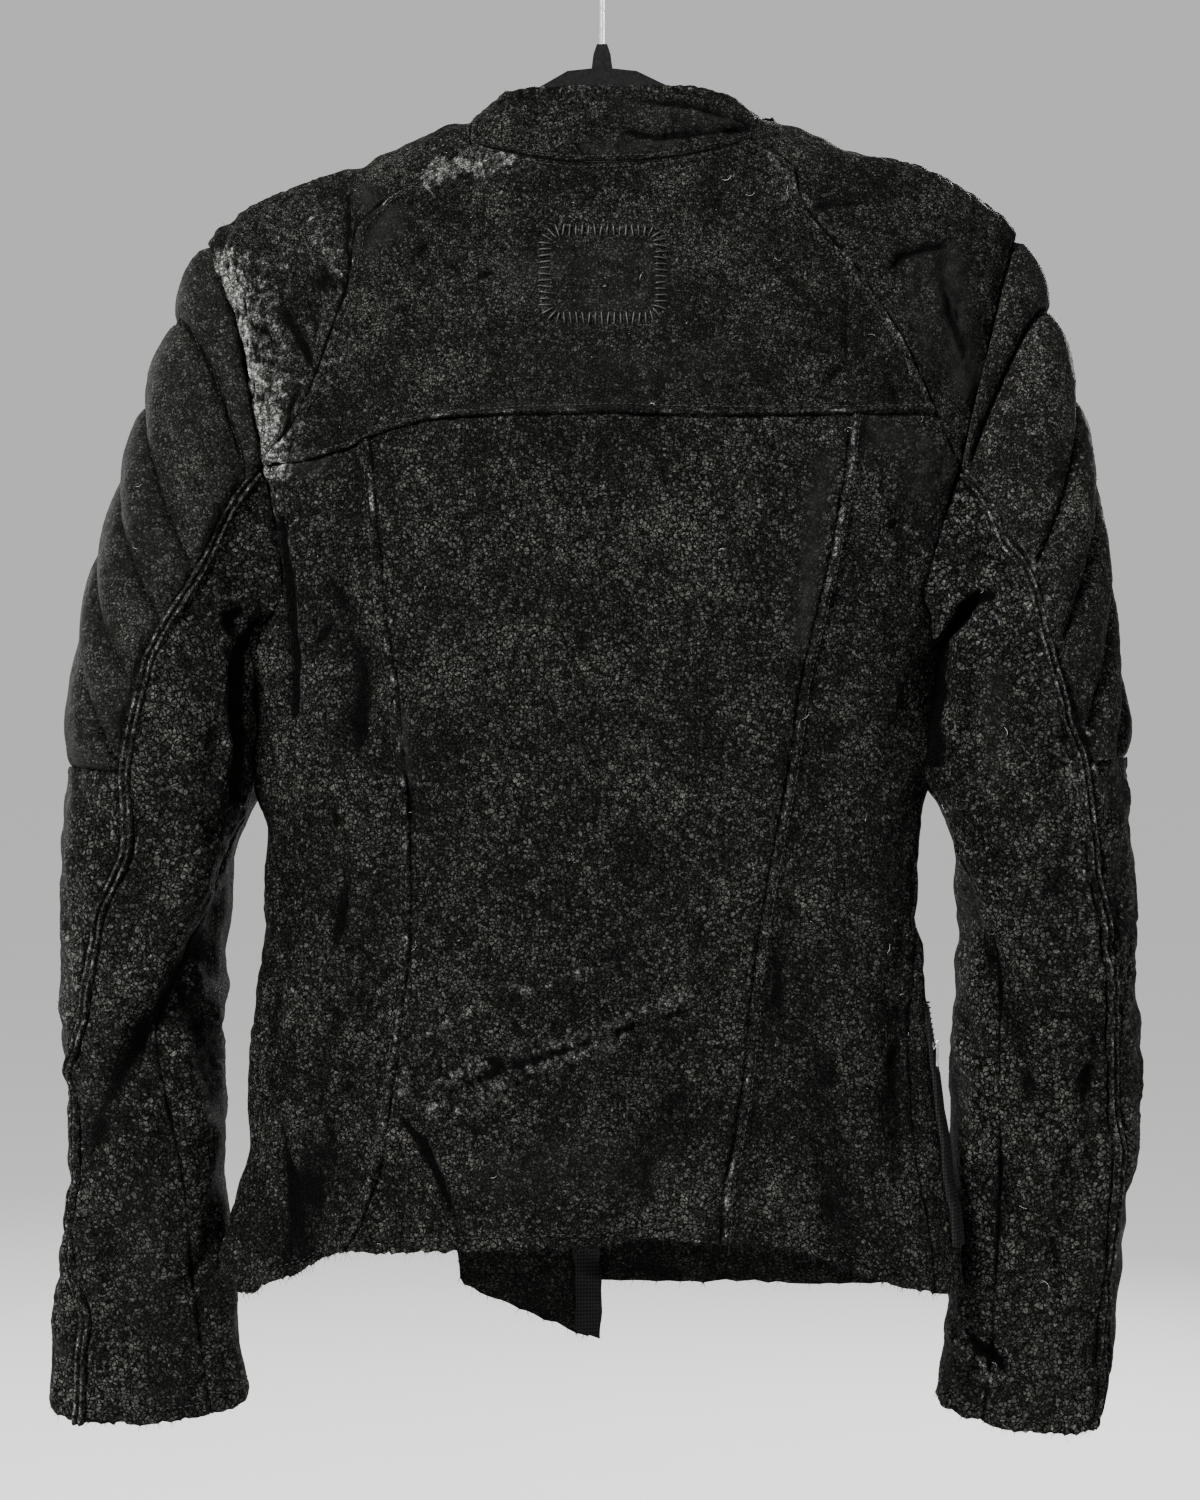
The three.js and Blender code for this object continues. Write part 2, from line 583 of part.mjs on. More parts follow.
const neckSideLeft = seam(neckBackLeft, [[-74.5, -130.5], [-74.5, -124]], neckRidgeLeft, 'back');
const neckSideFrontLeft = seam(neckRidgeLeft, [[-75, -124], [-75.5, -129]], neckShoulderLeft, 'leftFront');
const neckSideRight = seam(neckBackRight, [[86, -129.5], [88, -123.5]], neckRidgeRight, 'back');
const neckSideFrontRight = seam(neckRidgeRight, [[88, -123.5], [87, -128.5]], neckShoulderRight, 'rightFront');

// How many faces each seam is cut into; the pieces on both sides of a seam share its corners.
const CUTS = {
  sideBackLeft: 5, back: 11, sideBackRight: 6, diagonal: 8, diagonalFoot: 2, lowToTip: 5, tipToShoulderSeam: 2,
  shoulderSeamToFrontLow: 2, frontLowToArmpit: 6, armpitToLow: 5, princess: 21, sideLeft: 16, sideRight: 14,
  neckFront: 4, chestEdge: 4, collarHeight: 3, hemToFlap: 4, flapStep: 1, flapHem: 3, hemRoundSide: 2, hemFrontRight: 8,
};
const neckBackCuts = CUTS.sideBackLeft + CUTS.back + CUTS.sideBackRight;

// The angles at which each armhole is cut, from the low point over the tip, and under the armpit back.
const HOLE_ROUNDS = {};
for (const side of ['left', 'right']) {
  HOLE_ROUNDS[side] = {
    lowToTip: rounds(ROUND_LOW[side], 0, CUTS.lowToTip),
    tipToShoulderSeam: rounds(0, -ROUND_SHOULDER_SEAM, CUTS.tipToShoulderSeam),
    shoulderSeamToFrontLow: rounds(-ROUND_SHOULDER_SEAM, -ROUND_FRONT_LOW, CUTS.shoulderSeamToFrontLow),
    frontLowToArmpit: rounds(-ROUND_FRONT_LOW, -Math.PI, CUTS.frontLowToArmpit),
    armpitToLow: rounds(Math.PI, ROUND_LOW[side], CUTS.armpitToLow),
  };
}

function holeRun(side, name) {
  return HOLE_ROUNDS[side][name].map((round) => armholeSpot(side, round));
}

for (const side of ['left', 'right']) {
  for (const round of Object.values(HOLE_ROUNDS[side]).flat()) {
    const place = armholeSpot(side, round);
    shareNormal(torsoPoint(...place), torsoNormal(...place), sleeveNormal(side, 0, round));
  }
}

// ---------------------------------------------------------------------------------------------
// Collar
// ---------------------------------------------------------------------------------------------

// The collar stands up at the back and falls inwards over the hanger at the sides. Its upper edge is given
// against the neck's own corners, from the left front round the back to the right front.
const neckLoop = join(
  reversed(stops(neckFrontLineLeft, CUTS.neckFront)),
  reversed(stops(neckSideFrontLeft, CUTS.tipToShoulderSeam)),
  reversed(stops(neckSideLeft, CUTS.lowToTip)),
  stops(neckBack, neckBackCuts),
  stops(neckSideRight, CUTS.lowToTip),
  stops(neckSideFrontRight, CUTS.tipToShoulderSeam),
  stops(neckFrontLineRight, CUTS.neckFront),
);
const leftBackCorner = CUTS.neckFront + CUTS.tipToShoulderSeam + CUTS.lowToTip;
const rightBackCorner = leftBackCorner + neckBackCuts;
const COLLAR_TOP = [
  [0, [-15, 50, -152]],
  [CUTS.neckFront / 2, [-38, 44, -146]],
  [CUTS.neckFront, [-55, 25, -124]],
  [CUTS.neckFront + CUTS.tipToShoulderSeam, [-51, 0, -105]],
  [leftBackCorner, [-57, -27, -108.5]],
  [leftBackCorner + neckBackCuts * 0.2, [-38, -41, -107]],
  [leftBackCorner + neckBackCuts / 2, [8, -44.5, -107]],
  [rightBackCorner - neckBackCuts * 0.2, [46, -42, -106.5]],
  [rightBackCorner, [75, -31, -111]],
  [rightBackCorner + CUTS.lowToTip, [67, 0, -108]],
  [rightBackCorner + CUTS.lowToTip + CUTS.tipToShoulderSeam, [64, 25, -125]],
  [neckLoop.length - 1 - CUTS.neckFront / 2, [42, 45, -147]],
  [neckLoop.length - 1, [9, 52, -153]],
];
const COLLAR_BULGE = 2;

function collarGrid() {
  const top = [0, 1, 2].map((k) => through(COLLAR_TOP.map(([at, point]) => [at, point[k]])));
  const rows = rounds(0, 1, CUTS.collarHeight).reverse().map((rise) => neckLoop.map((place, k) => {
    const foot = torsoPoint(...place);
    const point = foot.clone().lerp(new THREE.Vector3(...top.map((line) => line(k))), rise);
    const outward = new THREE.Vector3(foot.x, foot.y, 0).normalize();
    return point.addScaledVector(outward, COLLAR_BULGE * 4 * rise * (1 - rise));
  }));
  const last = neckLoop.length - 1;
  return rows.map((row, i) => row.map((point, k) => {
    const along = row[Math.min(k + 1, last)].clone().sub(row[Math.max(k - 1, 0)]);
    const up = rows[Math.max(i - 1, 0)][k].clone().sub(rows[Math.min(i + 1, CUTS.collarHeight)][k]);
    return { point, normal: along.cross(up).normalize() };
  }));
}

const collar = collarGrid();
neckLoop.forEach((place, k) => {
  shareNormal(torsoPoint(...place), torsoNormal(...place), collar[CUTS.collarHeight][k].normal);
});
addWall('collar', collar);

// The scrap of leather that sticks out at the collar's right end, just above the shoulder.
function addCollarTip() {
  const outline = new THREE.Shape([
    new THREE.Vector2(90.6, -118.7), new THREE.Vector2(93, -117.8), new THREE.Vector2(101.5, -116.2),
    new THREE.Vector2(100.6, -121.2),
  ]);
  const tip = addMesh('collar_tip', new THREE.ExtrudeGeometry(outline, { depth: 3, bevelEnabled: false }), LEATHER);
  tip.rotation.x = Math.PI / 2;
  tip.position.y = 1;
}

addCollarTip();

// ---------------------------------------------------------------------------------------------
// Torso pieces
// ---------------------------------------------------------------------------------------------

const diagonalLeftRun = stops(diagonalLeft, CUTS.diagonal);
const diagonalRightRun = stops(diagonalRight, CUTS.diagonal);
const diagonalFootRun = stops(diagonalRightFoot, CUTS.diagonalFoot);
const yokeLeftRun = stops(yokeSeamLeft, CUTS.sideBackLeft);
const yokeRun = stops(yokeSeam, CUTS.back);
const yokeRightRun = stops(yokeSeamRight, CUTS.sideBackRight);
const princessLeftRun = stops(princessLeft, CUTS.princess);
const princessRightRun = stops(princessRight, CUTS.princess);
const sideLeftRun = stops(sideLeft, CUTS.sideLeft);
const sideRightRun = stops(sideRight, CUTS.sideRight);
const shoulderLeftRun = stops(shoulderFrontLeft, CUTS.diagonal);
const shoulderRightRun = stops(shoulderFrontRight, CUTS.diagonal + CUTS.diagonalFoot);

addWall('back_yoke', torsoGrid(fillPatch(
  stops(neckBack, neckBackCuts),
  join(yokeLeftRun, yokeRun, yokeRightRun),
  diagonalLeftRun,
  diagonalRightRun,
)));
addWall('shoulder_left', torsoGrid(fillPatch(
  join(stops(neckSideLeft, CUTS.lowToTip), stops(neckSideFrontLeft, CUTS.tipToShoulderSeam)),
  join(holeRun('left', 'lowToTip'), holeRun('left', 'tipToShoulderSeam')),
  diagonalLeftRun,
  shoulderLeftRun,
)));
addWall('shoulder_right', torsoGrid(fillPatch(
  join(stops(neckSideRight, CUTS.lowToTip), stops(neckSideFrontRight, CUTS.tipToShoulderSeam)),
  join(holeRun('right', 'lowToTip'), holeRun('right', 'tipToShoulderSeam')),
  join(diagonalRightRun, diagonalFootRun),
  shoulderRightRun,
)));
addWall('back_centre', torsoGrid(fillPatch(
  yokeRun,
  stops(hemBack, CUTS.back),
  princessLeftRun,
  princessRightRun,
)));
addWall('back_side_left', torsoGrid(fillPatch(
  yokeLeftRun,
  stops(hemSideBackLeft, CUTS.sideBackLeft),
  join(reversed(holeRun('left', 'armpitToLow')), sideLeftRun),
  princessLeftRun,
)));
addWall('back_side_right', torsoGrid(fillPatch(
  yokeRightRun,
  stops(hemSideBackRight, CUTS.sideBackRight),
  princessRightRun,
  join(diagonalFootRun, reversed(holeRun('right', 'armpitToLow')), sideRightRun),
)));

const frontLeft = torsoGrid(fillPatch(
  reversed(shoulderLeftRun),
  join(stops(hemFrontSideLeft, CUTS.hemToFlap, 1.3), stops(flapStep, CUTS.flapStep), stops(flapHem, CUTS.flapHem)),
  join(holeRun('left', 'shoulderSeamToFrontLow'), holeRun('left', 'frontLowToArmpit'), sideLeftRun),
  join(stops(neckFrontLineLeft, CUTS.neckFront), stops(chestEdgeLeft, CUTS.chestEdge),
    stops(frontEdgeLeft, CUTS.sideLeft)),
));
const frontRight = torsoGrid(fillPatch(
  reversed(shoulderRightRun),
  join(stops(hemFrontSideRight, CUTS.hemRoundSide), stops(hemFrontLineRight, CUTS.hemFrontRight, 1.3)),
  join(holeRun('right', 'shoulderSeamToFrontLow'), holeRun('right', 'frontLowToArmpit'), sideRightRun),
  join(stops(neckFrontLineRight, CUTS.neckFront), stops(chestEdgeRight, CUTS.chestEdge),
    stops(frontEdgeRight, CUTS.sideRight)),
));
addWall('front_left', frontLeft);
addWall('front_right', frontRight);

// ---------------------------------------------------------------------------------------------
// Sleeves
// ---------------------------------------------------------------------------------------------

const PAD_STATIONS = [0, 0.6, 1.3, 2, 2.8, 3.6, 4.3, 5, PAD_END];
const LOWER_STATIONS = [PAD_END, 6.4, 7, 7.6, 8.2, 8.8, 9.4, 10, 10.6, 11.2, 11.8, 12.4, CUFF];
const SLEEVE_STATIONS = join(PAD_STATIONS, LOWER_STATIONS);
const EVEN_FROM = 4; // the station from which a piece's faces are evenly wide

// A sleeve piece between two seams; holeAngles are the armhole's own angles, which its first row takes.
function sleeveGrid(side, stations, holeAngles, fromSeam, toSeam) {
  const [first, last] = [holeAngles[0], holeAngles[holeAngles.length - 1]];
  return stations.map((station) => holeAngles.map((angle, j) => {
    const even = j / (holeAngles.length - 1);
    const share = mix((angle - first) / (last - first), even, smoothstep(0, EVEN_FROM, station));
    const round = mix(fromSeam(station), toSeam(station), share);
    return { point: sleevePoint(side, station, round), normal: sleeveNormal(side, station, round) };
  }));
}

const PIPE_HALF_WIDTH = 2.6;
const PIPE_HEIGHT = 1.8;

// The raised strip over the back seam, from the armhole's low point to the cuff.
function addPiping(side, outerPiece, backPiece) {
  const line = outerPiece.map((row, i) => {
    const seamCell = row[0];
    const backRow = backPiece[i];
    const across = row[1].point.clone().sub(backRow[backRow.length - 2].point).normalize();
    return { point: seamCell.point, normal: seamCell.normal, across };
  }).slice(1);
  addStrip(`sleeve_${side}_piping`, line, {
    from: -PIPE_HALF_WIDTH, to: PIPE_HALF_WIDTH, lift: LAID_GAP, thickness: PIPE_HEIGHT, finish: LEATHER,
  });
}

function addSleeve(side) {
  const holes = HOLE_ROUNDS[side];
  const outerAngles = join(holes.lowToTip, holes.tipToShoulderSeam, holes.shoulderSeamToFrontLow);
  const innerOnFront = (station) => INNER_SEAM[side](station) - 2 * Math.PI;
  const outer = sleeveGrid(side, SLEEVE_STATIONS, outerAngles, PIPING[side], FRONT_SEAM);
  const back = sleeveGrid(side, SLEEVE_STATIONS, holes.armpitToLow, INNER_SEAM[side], PIPING[side]);
  const under = sleeveGrid(side, SLEEVE_STATIONS, holes.frontLowToArmpit, FRONT_SEAM, innerOnFront);
  const padRows = PAD_STATIONS.length;
  addWall(`sleeve_${side}_pad`, outer.slice(0, padRows), PADDED_LEATHER, PAD_WALL);
  addWall(`sleeve_${side}_outer`, outer.slice(padRows - 1));
  addWall(`sleeve_${side}_back`, back);
  addWall(`sleeve_${side}_under`, under);
  addPiping(side, outer, back);
}

addSleeve('left');
addSleeve('right');

// ---------------------------------------------------------------------------------------------
// Zips
// ---------------------------------------------------------------------------------------------

const SLIDER = { width: 8, depth: 4.2, height: 11 };
const PULL = { width: 6, depth: 1.4, height: 16, gap: 1.1, overhang: 1.2 };
const FRONT_TAPE = { inside: 10, beyond: 7, gap: 0.5 };
const POCKET_ZIP = { halfWidth: 7, sliderGap: 1.2 };

// A front zip tape, sewn inside the front's edge and standing out beyond it.
function addFrontTape(side, grid) {
  const line = grid.slice(CUTS.neckFront).map((row) => {
    const edge = row[row.length - 1];
    const across = edge.point.clone().sub(row[row.length - 2].point).normalize();
    return { point: edge.point, normal: edge.normal, across };
  });
  addStrip(`zip_tape_${side}`, line, {
    from: -FRONT_TAPE.inside, to: FRONT_TAPE.beyond, lift: -(WALL + FRONT_TAPE.gap + TAPE), thickness: TAPE,
    finish: TAPE_CLOTH,
  });
}

addFrontTape('left', frontLeft);
addFrontTape('right', frontRight);

// A pocket's zip tape down one column of a front, and its slider at sliderDrop of the tape's first face.
function addPocketZip(side, grid, { column, topRow, endRow, sliderDrop }) {
  const line = grid.slice(topRow, endRow + 1).map((row, i) => {
    const cell = row[column];
    const down = grid[topRow + i + 1][column].point.clone().sub(grid[topRow + i - 1][column].point);
    return { ...cell, across: cell.normal.clone().cross(down).normalize() };
  });
  addStrip(`pocket_zip_${side}`, line, {
    from: -POCKET_ZIP.halfWidth, to: POCKET_ZIP.halfWidth, lift: LAID_GAP, thickness: TAPE, finish: TAPE_CLOTH,
  });
  const seat = line[0].point.clone().lerp(line[1].point, sliderDrop);
  const facing = Math.atan2(-line[0].normal.x, line[0].normal.y);
  const lift = LAID_GAP + TAPE + POCKET_ZIP.sliderGap;
  seat.add(new THREE.Vector3(-Math.sin(facing) * lift, Math.cos(facing) * lift, 0));
  addSlider(`pocket_${side}`, seat, facing);
}

// A slider with its pull tab hanging from a hinge at the slider's top. seat is the middle of the slider's
// inner face, and facing is the way it looks, level, as an angle from +Y towards -X.
function addSlider(name, seat, facing) {
  const stand = new THREE.Group();
  stand.position.copy(seat);
  stand.rotation.z = facing;
  group.add(stand);
  const place = (label, size, at) => {
    const mesh = addMesh(label, new THREE.BoxGeometry(...size), NICKEL);
    mesh.position.set(...at);
    stand.add(mesh);
  };
  place(`${name}_slider`, [SLIDER.width, SLIDER.depth, SLIDER.height], [0, SLIDER.depth / 2, 0]);
  place(`${name}_pull`, [PULL.width, PULL.depth, PULL.height], [
    0, SLIDER.depth + PULL.gap + PULL.depth / 2, SLIDER.height / 2 - PULL.height / 2 + PULL.overhang,
  ]);
}

addPocketZip('left', frontLeft, { column: 1, topRow: 18, endRow: 23, sliderDrop: 0.65 });
addPocketZip('right', frontRight, { column: 1, topRow: 16, endRow: 21, sliderDrop: 0.95 });
addSlider('front_zip', new THREE.Vector3(-37, 51.8, -783), 0);

// ---------------------------------------------------------------------------------------------
// Hanger
// ---------------------------------------------------------------------------------------------

const HANGER_THICKNESS = 5;
const HANGER_BAR = 15; // the height of an arm
const WIRE = 1.2; // the hook wire's radius
const HOOK_RADIUS = 22; // to the wire's middle
const NECK_TOP = -74;

// Each arm's upper line runs just under the collar and the shoulder, out from the neck.
const ARM_LEFT = [[-20, -89.5], [-40, -101], [-50, -108.6], [-60, -115], [-74, -124.5], [-96, -134],
  [-120, -144], [-145, -154], [-178, -166], [-190, -174]];
const ARM_RIGHT = [[20, -89.5], [45, -101.5], [55, -108], [66, -113.5], [78, -119], [89, -124], [101, -128],
  [119, -133], [146, -144], [174, -152.5], [196, -160.5], [204, -168]];

function addHangerBody() {
  const below = (line) => line.slice(1).map(([x, z]) => [x * 0.985, z - HANGER_BAR]);
  const outline = [
    [-6, -88], [-5, -80], [-3, NECK_TOP], [3, NECK_TOP], [5, -80], [6, -88],
    ...ARM_RIGHT, ...reversed(below(ARM_RIGHT)), [0, -103], ...below(ARM_LEFT), ...reversed(ARM_LEFT),
  ];
  const shape = new THREE.Shape(outline.map(([x, z]) => new THREE.Vector2(x, z)));
  const settings = { depth: HANGER_THICKNESS, bevelEnabled: false };
  const body = addMesh('hanger_body', new THREE.ExtrudeGeometry(shape, settings), HANGER_PLASTIC);
  body.rotation.x = Math.PI / 2;
  body.position.y = HANGER_THICKNESS / 2;
}

// The hook: straight up from the neck, a bend out to the right, and round over the rail to the left.
function addHook() {
  const middle = -WIRE - HOOK_RADIUS + 2 * WIRE;
  const path = new THREE.CurvePath();
  const neck = new THREE.Vector3(0, 0, NECK_TOP + 0.3);
  const bend = new THREE.Vector3(0, 0, -48);
  const start = -Math.PI / 4;
  const onCircle = (angle) => new THREE.Vector3(
    HOOK_RADIUS * Math.cos(angle), 0, middle + HOOK_RADIUS * Math.sin(angle),
  );
  path.add(new THREE.LineCurve3(neck, bend));
  path.add(new THREE.CubicBezierCurve3(bend, new THREE.Vector3(0, 0, -43), new THREE.Vector3(10, 0, -42),
    onCircle(start)));
  const end = Math.PI * 1.1;
  const arc = [];
  for (let i = 0; i <= 20; i++) arc.push(onCircle(mix(start, end, i / 20)));
  for (let i = 0; i < 20; i++) path.add(new THREE.LineCurve3(arc[i], arc[i + 1]));
  const section = new THREE.Shape();
  section.absarc(0, 0, WIRE, 0, 2 * Math.PI, false);
  const settings = { steps: 44, extrudePath: path, curveSegments: 3 };
  addMesh('hanger_hook', new THREE.ExtrudeGeometry(section, settings), STEEL);
}

addHangerBody();
addHook();

export default group;
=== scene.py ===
"""A worn leather jacket hanging from a slim hanger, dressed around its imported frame.

The leather is worked out here in millimetres, in the frame's own axes: +Z up, the back towards -Y,
+X the wearer's right, the origin at the seat of the hanger's hook. Meshes are made in metres.
The torso is one closed ring at every height, walked by an angle "turn": 0 at the wearer's left side,
pi/2 at the centre back, pi at the right side, and -pi/2 or 3*pi/2 at the centre front. A sleeve is a
row of rings, walked by a station number and an angle "round": 0 at its outer edge, positive over the
back, pi at its inner edge, and negative over the front.
"""
import math

import bpy
import numpy as np
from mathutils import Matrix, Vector


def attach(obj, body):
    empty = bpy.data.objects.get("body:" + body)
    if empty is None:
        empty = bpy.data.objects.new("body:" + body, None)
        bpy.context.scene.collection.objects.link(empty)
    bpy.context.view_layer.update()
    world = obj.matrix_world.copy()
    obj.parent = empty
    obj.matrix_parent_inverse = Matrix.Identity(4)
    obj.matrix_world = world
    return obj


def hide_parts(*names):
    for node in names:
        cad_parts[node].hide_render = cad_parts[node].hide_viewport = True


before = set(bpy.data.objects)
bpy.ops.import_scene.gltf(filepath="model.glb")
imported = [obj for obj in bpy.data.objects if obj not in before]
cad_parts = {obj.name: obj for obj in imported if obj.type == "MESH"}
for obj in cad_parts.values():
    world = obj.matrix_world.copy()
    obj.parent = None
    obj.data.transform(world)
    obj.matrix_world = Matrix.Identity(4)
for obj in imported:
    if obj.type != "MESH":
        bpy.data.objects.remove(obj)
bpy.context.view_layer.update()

MM = 0.001
BODY = "jacket_on_hanger"
SIDES = ("left", "right")
PI = math.pi
rng = np.random.default_rng(7)

# ------------------------------------------------------------------------------------------------
# Curves and small helpers
# ------------------------------------------------------------------------------------------------


def through(knots):
    """A smooth function through (input, value) knots that never overshoots, held level past its ends."""
    xs, ys = np.array(knots, float).T
    span = np.diff(xs)
    rise = np.diff(ys) / span
    slope = np.empty_like(ys)
    slope[0], slope[-1] = rise[0], rise[-1]
    for i in range(1, len(xs) - 1):
        if rise[i - 1] * rise[i] <= 0:
            slope[i] = 0
        else:
            near, far = 2 * span[i] + span[i - 1], span[i] + 2 * span[i - 1]
            slope[i] = (near + far) / (near / rise[i - 1] + far / rise[i])

    def value(x):
        x = np.clip(x, xs[0], xs[-1])
        i = np.clip(np.searchsorted(xs, x, side="right") - 1, 0, len(xs) - 2)
        t = (x - xs[i]) / span[i]
        t2, t3 = t * t, t * t * t
        return ((2 * t3 - 3 * t2 + 1) * ys[i] + (t3 - 2 * t2 + t) * span[i] * slope[i]
                + (3 * t2 - 2 * t3) * ys[i + 1] + (t3 - t2) * span[i] * slope[i + 1])

    return value


def smoothstep(low, high, x):
    t = np.clip((x - low) / (high - low), 0, 1)
    return t * t * (3 - 2 * t)


def mix(a, b, t):
    return a + (b - a) * t


def unit(vectors):
    return vectors / np.maximum(np.linalg.norm(vectors, axis=-1, keepdims=True), 1e-9)


def distance_to_line(x, z, line):
    """How far each (x, z) is from a polyline, and how far along it the nearest place is, from 0 to 1."""
    line = np.array(line, float)
    steps = np.diff(line, axis=0)
    lengths = np.linalg.norm(steps, axis=1)
    starts = np.concatenate([[0], np.cumsum(lengths)])
    best = np.full(np.shape(x), np.inf)
    along = np.zeros(np.shape(x))
    for start, step, length, begun in zip(line, steps, lengths, starts):
        t = np.clip(((x - start[0]) * step[0] + (z - start[1]) * step[1]) / length**2, 0, 1)
        far = np.hypot(x - start[0] - t * step[0], z - start[1] - t * step[1])
        nearer = far < best
        best = np.where(nearer, far, best)
        along = np.where(nearer, (begun + t * length) / starts[-1], along)
    return best, along


def bell(off, width):
    """A smooth bump: 1 where off is 0, and 0.37 a width away."""
    return np.exp(-((off / width) ** 2))


def lengths_along(points):
    return np.concatenate([[0], np.cumsum(np.linalg.norm(np.diff(points, axis=0), axis=1))])


def read_off(values, reach, places):
    """The rows of values at some places along a line whose rows are reach along it."""
    return np.stack([np.interp(places, reach, column) for column in values.T], axis=-1)


RIPPLE_WAVES = 18


def ripple(points, wavelength, seed, stretch=(1, 1, 1)):
    """Smooth unevenness of about plus or minus 1, in waves of about one length in mm."""
    dice = np.random.default_rng(seed)
    total = np.zeros(points.shape[:-1])
    for _ in range(RIPPLE_WAVES):
        way = unit(dice.normal(size=3)) * dice.uniform(0.6, 1.6) * 2 * PI / wavelength
        total += np.sin(points @ (way / np.array(stretch)) + dice.uniform(0, 2 * PI))
    return total / math.sqrt(RIPPLE_WAVES)


# ------------------------------------------------------------------------------------------------
# The torso's surface, as the frame's solids have it
# ------------------------------------------------------------------------------------------------

TORSO_FULLNESS = 0.3
SLEEVE_FULLNESS = 0.18
LEFT_EDGE = through([
    (-840, -216), (-788, -218), (-775, -218.7), (-736, -209.5), (-707, -202), (-673, -203.7), (-640, -200.2),
    (-580, -193.2), (-508, -194.5), (-450, -193.5), (-412, -199), (-320, -212), (-190.5, -226),
    (-172.6, -206.6), (-160, -177.8), (-148.2, -144.7), (-137.4, -116.9), (-129, -96), (-120, -74),
    (-112, -56)])
RIGHT_EDGE = through([
    (-840, 207), (-797, 208.3), (-778, 206.6), (-751.5, 201.9), (-715.6, 192.7), (-677.5, 188),
    (-626.6, 181.4), (-594, 179.9), (-557.7, 181.7), (-516, 184.6), (-450, 187.5), (-409, 197),
    (-370, 208), (-320, 220),
    (-187, 237.5), (-166.6, 221.6), (-153.3, 199.4), (-145.7, 173.9), (-137.9, 146.2), (-126.7, 118.6),
    (-122.4, 101.8), (-119.5, 89), (-112, 66)])
BACK_DEPTH = through([(-800, 57), (-700, 53), (-590, 50), (-460, 54), (-330, 58), (-250, 56), (-150, 46),
                      (-100, 44)])
FRONT_DEPTH = through([(-800, 52), (-590, 47), (-330, 58), (-250, 57), (-185, 52), (-100, 46)])

# The large folds: which side they are on, how wide, and where and how deep at each height.
FOLDS = [(side, width, through(at), through(depth)) for side, width, at, depth in [
    ("back", 13, [(-790, -171), (-763, -169.5), (-725, -163.6), (-695, -154), (-665, -145), (-627, -136),
                  (-560, -131)], [(-790, 17), (-740, 14), (-680, 8), (-600, 3), (-550, 0)]),
    ("back", 15, [(-770, 10), (-733, 20), (-703, 30.5), (-658, 41), (-616, 62), (-580, 70)],
     [(-765, 3), (-735, 7), (-703, 9), (-650, 5), (-585, 0)]),
    ("back", 14, [(-790, 141), (-763, 138), (-703, 130), (-658, 122.6), (-612, 103)],
     [(-790, 10), (-720, 9), (-660, 6), (-590, 0)]),
    ("front", 18, [(-790, -150), (-700, -138), (-560, -118)], [(-790, 9), (-700, 6), (-570, 0)]),
    ("front", 18, [(-790, 122), (-700, 112), (-560, 96)], [(-790, 9), (-700, 6), (-570, 0)]),
]]
LAP_DEPTH = 8


def torso_point(turn, z):
    left, right = LEFT_EDGE(z), RIGHT_EDGE(z)
    c, s = np.cos(turn), np.sin(turn)
    back = s > 0
    x = (left + right) / 2 - (right - left) / 2 * c
    y = -np.where(back, BACK_DEPTH(z), FRONT_DEPTH(z)) * s * (1 + TORSO_FULLNESS * c * c)
    outward = np.where(back, -1, 1)
    for side, width, at, depth in FOLDS:
        off = (x - at(z)) / width
        here = back if side == "back" else ~back
        y = y - np.where(here, outward * depth(z) * np.exp(-0.5 * off * off) * np.abs(s), 0)
    lap = LAP_DEPTH * smoothstep(-120, -45, x) * smoothstep(-230, -420, z)
    return np.stack([x, y - np.where(turn < 0, lap, 0), z + 0 * x], axis=-1)


def turn_of(x, z, part):
    left, right = LEFT_EDGE(z), RIGHT_EDGE(z)
    turn = math.acos(min(max((left + right - 2 * x) / (right - left), -1), 1))
    return {"back": turn, "leftFront": -turn, "rightFront": 2 * PI - turn}[part]


def spot(x, z, part):
    return turn_of(x, z, part), z


def seam(start, via, end, part):
    """A seam across the torso: [turn, z] at any t from 0 to 1, by way of (x, z) points."""
    stops = np.array([start, *[spot(x, z, part) for x, z in via], end], float)
    points = torso_point(stops[:, 0], stops[:, 1])
    reach = lengths_along(points)
    turn, height = (through(np.stack([reach / reach[-1], stops[:, k]], axis=1)) for k in (0, 1))
    return lambda t: np.stack([turn(t), height(t)], axis=-1)


# ------------------------------------------------------------------------------------------------
# Armholes and the sleeves' surfaces
# ------------------------------------------------------------------------------------------------

ARMHOLES = {
    "left": dict(
        tip=-190.5, armpit=-412,
        back=[(-217.6, -212.6), (-206, -246), (-198, -287.6), (-191.8, -320), (-186, -352), (-183, -374),
              (-182, -391), (-188, -405)],
        front=[(-216, -214), (-205, -248), (-195, -288), (-188, -320), (-183, -352), (-181, -374),
               (-182, -390), (-189, -404)]),
    "right": dict(
        tip=-187, armpit=-409,
        back=[(230, -211), (222, -244.6), (212, -286), (203.5, -321), (194, -352), (187, -376), (183, -391),
              (186, -402)],
        front=[(229, -213), (220, -247), (210, -288), (200, -321), (190, -352), (183, -376), (180, -391),
               (185, -402)]),
}
ROUND_SHOULDER_SEAM = 0.9
ROUND_FRONT_LOW = 1.72


def round_at(side, z):
    hole = ARMHOLES[side]
    return math.acos((2 * z - hole["tip"] - hole["armpit"]) / (hole["tip"] - hole["armpit"]))


ROUND_LOW = {"left": round_at("left", -320), "right": round_at("right", -321)}
for side, hole in ARMHOLES.items():
    edge = 0 if side == "left" else PI
    for part in ("back", "front"):
        name = part if part == "back" else side + "Front"
        hole[part + "_turn"] = through([
            (0, edge), *[(round_at(side, z), turn_of(x, z, name)) for x, z in hole[part]], (PI, edge)])


